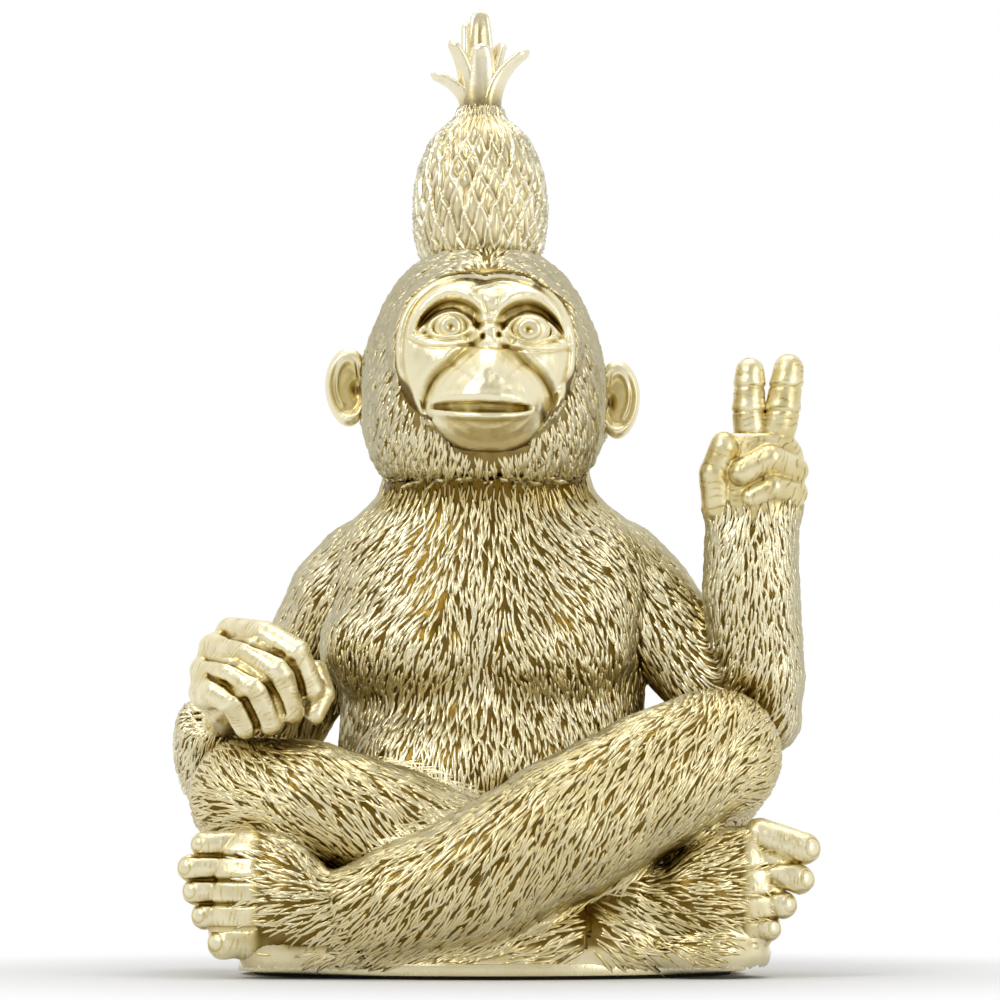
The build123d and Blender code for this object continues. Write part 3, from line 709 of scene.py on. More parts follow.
# Along a lock from root to tip: its width, the height of its ridge and of its two edges, and how light its ridge
# is: painted shade at the root, where it sinks into the skin, and a painted highlight towards the tip
LOCK_WIDTH = np.array([0.0, 0.85, 1.0, 0.80, 0.0])
LOCK_RIDGE = np.array([-0.7, 0.70, 1.0, 0.85, 0.15])
LOCK_EDGE = np.array([-0.7, -0.45, -0.40, -0.35, 0.15])
LOCK_SHADE = np.array([0.45, 0.90, 1.0, 1.0, 1.0])
# painted shade along both edges of every lock
EDGE_SHADE = 0.22
# How far locks differ from each other: shares of their length, width and height, their turn, curl and tone
LENGTH_SPREAD, WIDTH_SPREAD, HEIGHT_SPREAD = (0.72, 1.35), (0.75, 1.3), (0.7, 1.35)
TURN_SPREAD, CURL_SPREAD, TONE_SPREAD = 0.14, 0.14 * 1.3, (0.86, 1.06)

CAST_LOW, CAST_HIGH = in_mm(cad_box)
BOX_MARGIN = 0.05


def lay_fur(name, node, skin, tree, opens, spots, normals, gaps, size, painted_part_light, hang=0.0):
    """Sows roots over the spots and lays a lock from each along the fur's direction, bent to the skin.

    gaps are those between two roots, across and along the fur; size is a lock's width, length and height; hang
    lets the tips stand free of the skin.
    """
    roots = spots[scattered(spots, normals, lie_of(node, spots, normals), *gaps)]
    count = len(roots)
    corner = skin.faces()
    width, length, height = size
    lengths = length * chance.uniform(*LENGTH_SPREAD, count)
    widths = width * chance.uniform(*WIDTH_SPREAD, count)
    heights = height * chance.uniform(*HEIGHT_SPREAD, count)
    turn = chance.normal(0, TURN_SPREAD, count)
    curl = chance.normal(0, CURL_SPREAD, count)
    spine, upright, ways = np.zeros((3, count, LEVELS, 3))
    here = roots.copy()
    seen = np.zeros(count)
    for level in range(LEVELS):
        normals = np.zeros((count, 3))
        for i in range(count):
            place, _, face, _ = tree.find_nearest(here[i])
            free = hang if level > 1 else 0
            here[i] = here[i] * free + np.array(place) * (1 - free)
            four = corner[face]
            normals[i] = skin.normals[four].mean(0)
            if level == 1:
                # the painted light at the lock's root: painted shade where the skin sees little sky
                seen[i] = opens[four].mean()
        normals = unit(normals)
        if level > 1:
            normals = unit(normals * (1 - hang) + upright[:, level - 1] * hang)
        way = lie_of(node, here, normals)
        if level > 1:
            way = unit(way * (1 - hang) + ways[:, level - 1] * hang)
        side = np.cross(normals, way)
        way = unit(way + side * (turn + curl * level / 2)[:, None])
        spine[:, level], upright[:, level], ways[:, level] = here, normals, way
        here = here + way * (lengths / (LEVELS - 1))[:, None]
    mesh, each = many_locks(count)
    local = rows(mesh.vertices, "co", 3)[:each]
    level = np.rint((local[:, 2] + 0.5) * (LEVELS - 1)).astype(int)
    ridge = (np.hypot(local[:, 0], local[:, 1]) < 0.1) | (local[:, 1] > 0.5)
    swing = np.where(ridge, 0.0, np.sign(local[:, 0]))
    sides = np.cross(upright, ways)
    rise = np.where(ridge, LOCK_RIDGE[level], LOCK_EDGE[level])
    aside = (swing * LOCK_WIDTH[level])[None, :, None]
    place = spine[:, level] + sides[:, level] * aside * widths[:, None, None] * 0.5
    place = place + upright[:, level] * rise[None, :, None] * heights[:, None, None]
    place = np.clip(place, CAST_LOW + BOX_MARGIN, CAST_HIGH - BOX_MARGIN)
    mesh.vertices.foreach_set("co", place.ravel())
    mesh.update()
    # Painted shade on every lock, darker at its root and along its edges, and a painted highlight up its ridge,
    # times a random tone and the part's painted light
    shade = np.where(ridge, LOCK_SHADE[level], EDGE_SHADE)
    tone = chance.uniform(*TONE_SPREAD, count) * painted_part_light
    stamp(mesh, ridge=(shade[None] * tone[:, None]).ravel(), open=np.repeat(seen, each))
    return finish_piece(mesh, name, node, fur_gold)


# ---------------------------------------------------------------- build the body


# Where each foot's bare toes begin, and the side that they point to
TOES_FROM = {"rear_foot": (64.0, 1), "front_foot": (61.0, -1)}
# How long and how wide the locks are, how far apart their roots lie across and along, and how light they are, a
# painted light for each part: lighter on the arms, darker as painted shade on the legs and feet
FUR_CUTS = {
    "torso_shell": (7.4, 1.32, 0.68, 2.1, 1.03),
    "raised_arm": (7.2, 1.28, 0.64, 2.0, 1.12),
    "resting_arm": (7.8, 1.30, 0.64, 2.0, 1.08),
    "rear_leg": (8.6, 1.38, 0.66, 2.1, 0.84),
    "front_leg": (8.6, 1.38, 0.66, 2.1, 0.80),
    "rear_foot": (6.8, 1.24, 0.62, 1.9, 0.74),
    "front_foot": (6.8, 1.24, 0.62, 1.9, 0.88),
}
LOCK_HEIGHT = 0.62
ROOT_SCATTER = 0.25  # how far the roots stray from the middles of the skin's faces
SKIN_FOOT = 3.0  # the height at which the skin ends on the plate
SOLE_TOP, SOLE_FROM = 14, 55  # no fur below this height and further out than this
THROAT_TOP = 133.5  # the head's own skin covers all above this height
# Tones of the ridge attribute: painted shade between the locks, painted shade on the throat under the beard, and
# what the smooth footing adds
BODY_TONE, THROAT_TONE, FOOTING_TONE = 0.07, 0.08, 0.70
# The fold under the beard, as height and width, and how dark it is painted, as a painted shadow and patina
BEARD_FOLD, FOLD_DARK = (128.0, 8.0), 0.62


def dress_body():
    """Trunk, limbs and feet: a skin for each casting, dark as painted shade between the locks, and the fur on it;
    the throat goes with the head.
    """
    skin = body_skin()
    nodes = FURRED + ("head_casting", "peace_hand", "resting_fist")
    label = nearest_casting(skin, nodes)
    face_label = label[skin.faces()[:, 0]]
    tree = skin.tree()
    # painted shade in the folds of the body, where little sky is seen
    opens = open_share(skin, tree)
    x, y, z = skin.points.T
    # a painted shadow and patina in the fold under the beard
    opens = opens * (1 - FOLD_DARK * hump(z, *BEARD_FOLD) * (y < 0))
    middle, upright = skin.squares()
    middle = middle + chance.normal(0, ROOT_SCATTER, middle.shape)
    out, height = np.abs(middle[:, 0]), middle[:, 2]
    footing = 1 - smooth_step(z - 5 * smooth_step(np.abs(x), 50, 58), 6.5, 9.0)
    stamp(skin.mesh, ridge=BODY_TONE + FOOTING_TONE * footing, open=opens)
    for number, node in enumerate(FURRED):
        own = face_label == number
        seat = own & (height > 6.0 + 1.4 * np.sin(middle[:, 0] * 0.35))
        seat &= ~((height < SOLE_TOP) & (out > SOLE_FROM))
        if node in FOLLOWS:
            start, side = TOES_FROM[node]
            seat &= (middle[:, 0] * side <= start) & (upright[:, 2] > -0.35)
            instep = own & (height > SKIN_FOOT) & ((out < 58) | (height < SOLE_TOP))
            skin_patch(skin, instep, node + "_instep", node, fur_gold)
        else:
            skin_patch(skin, own & (height > SKIN_FOOT), node + "_skin", node, fur_gold)
        length, width, across_gap, along_gap, painted_part_light = FUR_CUTS[node]
        gaps, size = (across_gap, along_gap), (width, length, LOCK_HEIGHT)
        lay_fur(node + "_fur", node, skin, tree, opens, middle[seat], upright[seat], gaps, size, painted_part_light)
    throat = (face_label == len(FURRED)) & (height < THROAT_TOP)
    stamp(skin.mesh, ridge=np.full(len(skin.points), THROAT_TONE), open=opens)
    skin_patch(skin, throat, "beard_skin", "head_casting", fur_gold)


dress_body()

# ---------------------------------------------------------------- hands and feet


WAVES = 12


def ripples(points, length):
    """A cloudy value round 0 for each place, made of crossing waves about this long."""
    total = np.zeros(len(points))
    for _ in range(WAVES):
        way = unit(chance.normal(0, 1, 3))
        total += np.sin(points @ way * (2 * pi / (length * chance.uniform(0.7, 1.4))) + chance.uniform(0, 2 * pi))
    return total / np.sqrt(WAVES / 2)


def crease(skin, ways, spacing, depth, area):
    """Cuts broken creases across the given direction and gives how deep each point lies in one."""
    run = np.sum(skin.points * ways, axis=1) / spacing + 0.32 * ripples(skin.points, 7.0)
    lines = np.clip(np.cos(2 * pi * run), 0, 1) ** 4 * smooth_step(ripples(skin.points, 3.6), -0.4, 0.7) * area
    skin.push(-(lines * depth))
    return lines


def hammered(skin, height):
    """The slightly uneven surface of a casting under leaf."""
    skin.push(ripples(skin.points, 2.8) * height + ripples(skin.points, 1.3) * height * 0.5)
    skin.settle()


def nail(skin, middle, half, facing):
    """A nail: an oval plate with a groove round it, on the points that face this way."""
    away = (skin.points - np.array(middle)) / np.array(half)
    gap = np.linalg.norm(away, axis=1)
    seen = smooth_step(skin.normals @ unit(np.array(facing, float)), 0.1, 0.5)
    skin.push((0.05 * (1 - smooth_step(gap, 0.80, 0.98)) - 0.15 * hump(gap, 1.10, 0.12)) * seen)
    # how much painted shade the groove round the nail gets, and where the nail lies
    return 0.5 * hump(gap, 1.10, 0.14) * seen, gap < 1.3


def line_gap(spots, line):
    """How far each flat spot lies from a broken line."""
    line = np.array(line)
    starts, runs = line[:-1], np.diff(line, axis=0)
    share = np.clip(((spots[:, None] - starts) * runs).sum(-1) / (runs * runs).sum(-1), 0, 1)
    return np.linalg.norm(spots[:, None] - starts - runs * share[..., None], axis=-1).min(1)


def bare_casting(node, pitch):
    skin = evened(cast_form(node), pitch).keep_outside()
    skin.relax(5)
    return skin.settle()


FOLD_ROUNDS = 30  # how often a copy is smoothed to find the folds


def finish_bare(skin, node, low, high=0.74):
    """Finishes a bare casting, its folds cut a little deeper; low is 1 in its creases, high its tone away from
    them. Creases and folds get painted shade, convex edges a painted highlight.
    """
    skin.settle()
    kept, normals = skin.points.copy(), skin.normals
    skin.relax(FOLD_ROUNDS)
    fold = ((skin.points - kept) * normals).sum(1)
    skin.points = kept - normals * np.clip(0.25 * fold, -0.1, 0.2)[:, None]
    skin.settle()
    low = np.clip(low + np.clip(fold / 0.6, 0, 1) * 0.6, 0, 1)
    edge = 0.12 * np.clip(-fold / 0.30, 0, 1)
    ridge = np.clip(high + edge + 0.05 * ripples(skin.points, 5.0) - 0.62 * low, 0.03, 1)
    stamp(skin.mesh, ridge=ridge, open=np.clip(0.95 - 0.4 * low, 0.2, 1))
    return finish_piece(skin.mesh, node + "_skin", node, skin_gold)


HAND = 26.0  # the length by which places on a hand are measured
RESTING_WRIST = np.array([-73.0, -8.0, 65.0])
# Heights of the joints of the two raised fingers, as shares of HAND above the wrist
FINGER_JOINTS = (1.18, 1.42)
# The grooves between the four fingers on the back of the fist, as X and Z
FINGER_GROOVES = (
    ((-69.0, 86.5), (-66.5, 85.1), (-63.2, 84.2), (-60.0, 82.7), (-56.5, 81.6), (-53.3, 80.3), (-51.1, 78.5),
     (-49.3, 75.8), (-48.4, 72.6), (-48.0, 69.9)),
    ((-73.2, 79.8), (-70.5, 79.4), (-67.4, 78.7), (-64.3, 77.6), (-61.5, 76.0), (-58.8, 74.7), (-56.5, 72.8),
     (-54.7, 70.1), (-53.6, 67.8), (-52.9, 65.5)),
    ((-72.5, 75.4), (-70.5, 74.2), (-67.4, 72.8), (-64.7, 70.1), (-62.4, 68.8), (-60.9, 66.0), (-59.7, 63.3),
     (-59.5, 61.0)),
)


def raised_hand():
    """The hand with two fingers up: fuller fingers, with joints and creases across them."""
    skin = bare_casting("peace_hand", 0.36)
    low, high = in_mm(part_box("peace_hand"))
    spot = (skin.points - [(low[0] + high[0]) / 2, (low[1] + high[1]) / 2, low[2]]) / HAND
    fingers = smooth_step(spot[:, 2], 0.86, 1.02)
    fuller = 0.62 * fingers * (1 - 0.5 * smooth_step(spot[:, 2], 1.45, 1.72))
    for joint in FINGER_JOINTS:
        knuckle, line = hump(spot[:, 2], joint + 0.05, 0.05), hump(spot[:, 2], joint, 0.014)
        fuller += 0.18 * knuckle * fingers - 0.30 * line * fingers
    skin.push(fuller).settle()
    folded = (1 - fingers) * smooth_step(-skin.normals[:, 1], -0.2, 0.4) * smooth_step(spot[:, 0], -0.22, -0.08)
    lows = np.zeros(len(spot))
    for ways, spacing, depth, area in (
        ((0.0, 0.0, 1.0), 1.5, 0.08, 0.6 * fingers),
        ((0.95, 0.0, -0.30), 1.5, 0.10, 0.6 * folded),
        ((0.3, 0.0, 0.95), 1.8, 0.07, 0.5 * (1 - fingers) * (1 - folded)),
    ):
        lows = np.maximum(lows, crease(skin, np.array(ways), spacing, depth, area))
    hammered(skin, 0.018)
    # the raised hand is given a darker tone all over, as painted shade
    finish_bare(skin, "peace_hand", lows, 0.62)


def fist():
    """The resting fist: its back smoothed, grooves between the fingers, creases that turn with the knuckles."""
    skin = bare_casting("resting_fist", 0.36)
    spot = (skin.points - RESTING_WRIST) / HAND
    back = 1 - smooth_step(spot[:, 0] * 0.75 + spot[:, 1] * -0.15 + 0.12 * spot[:, 2], 0.10, 0.42)
    skin.relax(90, hold=1 - back)
    skin.settle()
    skin.push(back * 0.7).settle()
    seen = smooth_step(-skin.normals[:, 1], -0.1, 0.3)
    away = np.min([line_gap(skin.points[:, [0, 2]], line) for line in FINGER_GROOVES], axis=0)
    groove, wide = hump(away, 0, 0.55) * seen, hump(away, 0, 1.5) * seen
    skin.push(-(groove * 0.75 + wide * 0.20)).settle()
    bend = spot[:, 0] - (0.30 + 1.26 * (spot[:, 2] - 0.14))
    after = smooth_step(bend, -0.14, 0.14)[:, None]
    ways = unit(np.array([0.80, -0.32, -0.46]) * (1 - after) + np.array([0.38, 0.28, -0.87]) * after)
    lows = crease(skin, ways, 1.2, 0.09, 0.55 * (1 - groove))
    skin.push(0.35 * (hump(bend, -0.02, 0.07) * smooth_step(-skin.normals[:, 1], 0, 0.5)))
    hammered(skin, 0.022)
    # painted shade in the creases and in the grooves between the fingers
    finish_bare(skin, "resting_fist", np.maximum(lows, 0.60 * groove))


# Toe tips: X, Y, Z and radius in millimetres, from the top toe down
TOES = {
    "rear_foot": (
        (76.5, -39, 32.0, 3.5), (75.2, -40, 24.4, 3.2), (71.0, -40, 18.1, 3.0), (67.2, -40, 12.3, 2.9),
        (62.4, -40, 8.3, 2.4),
    ),
    "front_foot": (
        (-72.3, -42, 33.0, 2.7), (-75.2, -43, 27.3, 3.0), (-73.9, -43, 21.5, 3.0), (-71.7, -43, 15.5, 3.0),
        (-67.2, -43, 8.8, 3.5),
    ),
}
# Each foot: the side that its toes point to, where its bare skin begins, how the grooves lean and how deep they are
FEET = {"rear_foot": (1, 62.0, 0.12, 0.5), "front_foot": (-1, 59.5, 0.0, 0.95)}


def foot(node, side, start, slant, depth):
    """A foot whose bare toes have nails, joints and creases; its instep lies under fur."""
    skin = bare_casting(node, 0.40)
    x, z = skin.points[:, 0] * side, skin.points[:, 2]
    bare = smooth_step(x, start - 2.0, start + 1.5)
    tips = np.array(TOES[node])
    lean = slant * (np.abs(tips[:, 0]).mean() - x)
    between = (tips[:-1, 2] - tips[:-1, 3] + tips[1:, 2] + tips[1:, 3]) / 2
    aside = np.abs(z[:, None] + lean[:, None] - between).min(1)
    groove = hump(aside, 0, 0.65) * smooth_step(-skin.normals[:, 1], -0.3, 0.2) * bare
    skin.push(0.55 * bare - depth * groove).settle()
    clear = np.ones(len(x))
    lows = 0.6 * groove
    for tip_x, tip_y, tip_z, radius in TOES[node]:
        middle = (tip_x + side * (radius * 0.55), tip_y - radius * 0.75, tip_z + radius * 0.1)
        cut, area = nail(skin, middle, (radius * 0.50, radius * 0.9, radius * 0.60), (side * 0.6, -1, 0.1))
        lows = np.maximum(lows, cut)
        clear[area] = 0
        skin.settle()
    lows = np.maximum(lows, crease(skin, np.array([side * 1.0, 0.0, 0.1]), 1.2, 0.09, 0.55 * bare * clear))
    hammered(skin, 0.018)
    # painted shade in the toe grooves, the nail grooves and the creases, and over the instep that lies under the
    # fur
    finish_bare(skin, node, np.maximum(lows * bare, 1 - bare))


raised_hand()
fist()
for name, shape in FEET.items():
    foot(name, *shape)


# ---------------------------------------------------------------- head

# The face, in millimetres: where each form has its middle on the front of the head
MASK_MIDDLE, MASK_HALF = (-2.6, 156.9), (23.5, 21.2)
MUZZLE_MIDDLE = (-1.9, 144.8)
MUZZLE_TURNS = (-90, -66.5, -40, -26.6, -16, 0, 17, 42, 65, 79, 90)
MUZZLE_REACH = (14.0, 14.2, 15.2, 15.9, 16.4, 15.9, 14.8, 12.9, 13.6, 15.2, 15.8)
# Each eye: X, Z, the side it is on and how far its opening runs outwards
EYES = ((-11.3, 162.7, -1, 4.7), (8.0, 161.9, 1, 6.0))
NOSE = (-1.2, 160.3)
MOUTH = (-4.0, 142.0)
# How far the mask and the muzzle stand forward, from their middles, at 0, to their outlines, at 1, and past them
MASK_RISE = (
    (0, 0.3, 0.5, 0.65, 0.78, 0.88, 0.95, 1.0, 1.1),
    (34.4, 34.1, 33.2, 32.0, 30.6, 29.0, 27.0, 24.2, 15.0),
)
MUZZLE_RISE = (
    (0, 0.2, 0.4, 0.6, 0.75, 0.87, 0.95, 1.0, 1.1),
    (43.8, 43.4, 42.3, 40.2, 37.8, 34.8, 31.6, 28.0, 15.0),
)


def round_gap(x, z, middle, half):
    """1 on the ellipse with these half sizes, 0 in its middle."""
    return np.hypot((x - middle[0]) / half[0], (z - middle[1]) / half[1])


def mask_gap(x, z):
    """1 on the outline of the bare mask, 0 in its middle; the top dips where the brows meet."""
    wide, tall = np.abs(x - MASK_MIDDLE[0]) / MASK_HALF[0], np.abs(z - MASK_MIDDLE[1]) / MASK_HALF[1]
    return (wide**2.4 + tall**2.4) ** (1 / 2.4) + 0.05 * hump(x, -3.0, 3.0) * smooth_step(z, 171, 176)


def muzzle_gap(x, z):
    """1 on the outline of the muzzle, which is narrow at the nose and wide at the mouth."""
    wide, tall = np.abs(x - MUZZLE_MIDDLE[0]), z - MUZZLE_MIDDLE[1]
    return np.hypot(wide, tall) / np.interp(np.degrees(np.arctan2(tall, wide)), MUZZLE_TURNS, MUZZLE_REACH)


def bare_gap(x, z):
    """1 on the outline of the mask and muzzle together, 0 in the middle of either."""
    return np.minimum(mask_gap(x, z), muzzle_gap(x, z))


def soft_front(one, two, blend):
    """The form that lies further forward, with a rounded valley where two forms meet."""
    share = np.clip(0.5 + 0.5 * (two - one) / blend, 0, 1)
    return two * (1 - share) + one * share - blend * share * (1 - share)


def eye_rise(x, z, eye_x, eye_z, side, outer):
    """Brow, socket, lids and cheek of one eye."""
    out = (x - eye_x) * side
    up = z - eye_z
    span = smooth_step(out, -9.0, -5.5) * (1 - smooth_step(out, 6.5, 10.0))
    lid_line = 4.1 - np.where(out < 0, 0.12, 0.073) * out**2
    brow_line = 7.6 - np.where(out < 0, 0.060, 0.085) * out**2
    rise = 1.9 * hump(up, brow_line + 2.0, 2.1) * smooth_step(out, -9.5, -4.0) * (1 - smooth_step(out, 7.5, 12.0))
    socket = smooth_step(up, lid_line - 0.4, lid_line + 1.0)
    rise -= 2.5 * socket * (1 - smooth_step(up, brow_line - 1.6, brow_line + 0.5)) * span
    tilt = up + 0.09 * np.maximum(out, 0)
    gap = np.hypot(out / np.where(out > 0, outer, 4.2), tilt / np.where(tilt > 0, 2.85, 2.25))
    rise += hump(gap, 1.17, 0.13) * np.where(tilt > 0, 1.0, 0.75)
    rise -= 0.5 * hump(gap, 1.46, 0.10) * np.where(tilt > 0, 0.8, 1.0)
    rise -= 3.4 * (1 - smooth_step(gap, 0.84, 1.02))
    beside = smooth_step(out, outer - 0.4, outer + 1.0)
    for drop, depth in ((0.3, 0.55), (1.7, 0.40)):
        line = -0.9 - drop - 0.14 * (out - 5.0)
        rise -= depth * hump(up, line, 0.32) * beside * (1 - smooth_step(out, 8.0, 10.5))
    below = 1 - smooth_step(up, -3.5, -1.0)
    rise += 0.5 * hump(gap, 2.0, 0.22) * below
    rise -= 0.35 * hump(gap, 2.4, 0.14) * below
    rise += 1.9 * dome(out - 3.6, 6.2, up + 8.2, 4.6)
    return rise


def nose_rise(x, z):
    """The flat nose with its two slit nostrils, the low bridge and the furrows between the brows."""
    from_mid = x - NOSE[0]
    gap = round_gap(x, z, NOSE, (5.2, 3.0))
    rise = 1.8 * (1 - smooth_step(gap, 0.50, 1.12))
    upper = smooth_step(z, NOSE[1] - 0.5, NOSE[1] + 1.5)
    rise += 0.45 * hump(gap, 0.86, 0.16) * upper - 0.45 * hump(gap, 1.22, 0.12)
    rise -= 0.9 * hump(from_mid, 0, 3.4) * hump(z, 166.4, 1.9)
    rise += 0.5 * hump(from_mid, 0, 2.0) * hump(z, 169.5, 1.8)
    for line, depth in ((173.6, 0.45), (175.3, 0.5)):
        rise -= depth * hump(z, line - 0.05 * (from_mid - 2.5) ** 2, 0.45) * hump(from_mid, 1.0, 4.5)
    for side in (-1, 1):
        out = from_mid * side
        lean = radians(62)
        along = -(out - 2.2) * cos(lean) + (z - NOSE[1] + 0.3) * sin(lean)
        aside = (out - 2.2) * sin(lean) + (z - NOSE[1] + 0.3) * cos(lean)
        rise -= 1.3 * dome(along, 1.15, aside, 0.50)
        rise += 0.55 * dome(along, 1.7, aside - 1.15, 0.55)
        rise -= 0.5 * hump(out, 1.3 + 0.28 * (z - 167.5), 0.45) * hump(z, 168.5, 1.8)
    return rise


def muzzle_rise(x, z):
    """The crease round the muzzle, the full upper lip, the parted mouth and the rim of the lower lip."""
    from_mid = x - MUZZLE_MIDDLE[0]
    gap = muzzle_gap(x, z)
    sides = smooth_step(np.abs(from_mid), 4.5, 8.0) * smooth_step(z, 141, 149)
    rise = -0.55 * hump(gap, 1.0, 0.075) * sides + 0.5 * hump(gap, 1.15, 0.09) * sides
    rise += 0.8 * dome(x + 4.0, 5.0, z - 151.2, 4.0)
    rise -= 0.30 * hump(from_mid, 0.6, 1.6) * hump(z, 149.0, 4.5)
    line = MOUTH[1] - 0.035 * (x - MOUTH[0]) + 0.0016 * (x - MOUTH[0]) ** 2
    along = np.abs(x - MOUTH[0]) / 13.4
    arch = np.sqrt(np.clip(1 - along**2, 0.0004, 1))
    up = z - line
    lips = np.abs(up) / (np.where(up > 0, 1.15, 1.95) * arch**0.8)
    rise -= np.where(along < 1, 2.1 * (1 - smooth_step(lips, 0.62, 1.0)) * np.clip(1.5 * (1 - along**6), 0, 1), 0)
    fade = 1 - smooth_step(along, 0.80, 1.10)
    rise += 0.65 * hump(up, 2.7 * arch, 1.3) * fade
    rise += 0.85 * hump(up, -2.1 * arch - 0.75, 0.75) * fade
    rise -= 0.5 * hump(along, 1.07, 0.06) * hump(up, 0.2, 1.2)
    return rise


def face_depth(x, z):
    """How far forward the face lies (as Y) at each place seen from the front."""
    gap = mask_gap(x, z)
    mask = np.interp(gap, *MASK_RISE)
    muzzle = np.interp(muzzle_gap(x, z), *MUZZLE_RISE)
    depth = soft_front(HEAD[1] - mask, HEAD[1] - muzzle, 4.5)
    rise = nose_rise(x, z) + muzzle_rise(x, z)
    for eye in EYES:
        rise = rise + eye_rise(x, z, *eye)
    # the raised rim where the bare face meets the fur
    rim = smooth_step(z, 144, 150)
    rise += 0.7 * hump(gap, 0.945, 0.026) * rim - 0.6 * hump(gap, 0.885, 0.024) * rim
    return depth - rise


FACE_WIDTH, FACE_HEIGHT, FACE_MIDDLE_Z, FACE_BACK = 52.0, 50.0, 157.0, -14.0


def points_in(geometry):
    return [part for part in geometry if isinstance(part, bmesh.types.BMVert)]


def face_piece(head_tree):
    """The bare face: a fine grid pressed over its forms, sunk to the fur at its rim and closed at the back."""
    face = bmesh.new()
    bmesh.ops.create_grid(face, x_segments=210, y_segments=200, size=0.5)
    middle = Vector((MASK_MIDDLE[0], 0, FACE_MIDDLE_Z))
    flat = places_of(face)
    x = middle.x + flat[:, 0] * FACE_WIDTH
    z = middle.z + flat[:, 1] * FACE_HEIGHT
    depth = face_depth(x, z)
    gap = bare_gap(x, z)
    keep = gap < 1.02
    cheek = (1 - smooth_step(z, 147, 153)) * smooth_step(muzzle_gap(x, z), 0.98, 1.08)
    rim = smooth_step(gap, 0.93 - 0.09 * cheek, 1.0)
    for i in np.nonzero(keep & (rim > 0))[0]:
        found = head_tree.ray_cast((x[i], -80, z[i]), (0, 1, 0))
        if found[0] is not None:
            depth[i] = depth[i] * (1 - rim[i]) + (found[0].y + 0.25) * rim[i]
    place_points(face, np.stack([x, depth, z], 1))
    spare = [vert for vert, kept in zip(face.verts, keep) if not kept]
    bmesh.ops.delete(face, geom=spare, context="VERTS")
    for vert in points_in(bmesh.ops.extrude_edge_only(face, edges=open_edges(face))["geom"]):
        vert.co.y = FACE_BACK
    bmesh.ops.holes_fill(face, edges=open_edges(face), sides=0)
    bmesh.ops.recalc_face_normals(face, faces=face.faces)
    skin = Skin(mesh_of(face, "face"))
    skin.points[:, 1] += ripples(skin.points, 3.0) * 0.018 + ripples(skin.points, 1.3) * 0.008
    skin.settle()
    x, y, z = skin.points.T
    # Painted shade in the face's recesses and a painted highlight on what stands proud, by how far each point lies
    # behind the face round it
    cut = np.zeros(len(x))
    for step in (0.9, 2.0):
        ring = [face_depth(x + step * cos(turn), z + step * sin(turn)) for turn in np.arange(8) * pi / 4]
        cut += np.clip((y - np.mean(ring, axis=0)) * 0.55, -0.5, 0.9)
    # painted shade on the underside of the chin, which faces down
    under_chin_shade = 0.34 * smooth_step(-skin.normals[:, 2], 0.25, 0.75) * (z < 141)
    ridge = np.clip(0.80 - 0.60 * cut - under_chin_shade, 0.12, 1.0)
    stamp(skin.mesh, ridge=ridge, open=np.clip(1.0 - 0.4 * cut, 0.3, 1.0))
    return finish_piece(skin.mesh, "face", "head_casting", skin_gold)


EYE_RADIUS, EYE_TURN = 4.3, 93  # in degrees: the pole to the front and a little up


def eyeball(name, eye_x, eye_z, side, outer):
    """An eyeball with a raised iris and a drilled pupil, looking ahead and a little up."""
    ball = bmesh.new()
    bmesh.ops.create_uvsphere(ball, u_segments=56, v_segments=36, radius=1)
    from_pole = np.array([atan2(np.hypot(vert.co.x, vert.co.y), vert.co.z) for vert in ball.verts])
    iris_line = hump(from_pole, 0.66, 0.07)
    grow = EYE_RADIUS - 0.22 * iris_line + 0.14 * hump(from_pole, 0.54, 0.07) - hump(from_pole, 0, 0.24)
    for vert, size in zip(ball.verts, grow.tolist()):
        vert.co *= size
    bmesh.ops.transform(ball, matrix=Matrix.Rotation(radians(EYE_TURN), 4, "X"), verts=ball.verts)
    for vert in ball.verts:
        if vert.co.x * side > 0:
            vert.co.x *= (outer + 0.9) / 5.2
    front = float(face_depth(np.array([eye_x - side * 4.9]), np.array([eye_z]))[0])
    bmesh.ops.translate(ball, vec=(eye_x, front + 3.9, eye_z), verts=ball.verts)
    mesh = mesh_of(ball, name)
    # painted shade in the drilled pupil and in the groove round the iris
    low = 0.85 * hump(from_pole, 0, 0.26) + 0.5 * iris_line
    stamp(mesh, ridge=0.92 - low, open=np.full(len(mesh.vertices), 0.9))
    return finish_piece(mesh, name, "head_casting", skin_gold)


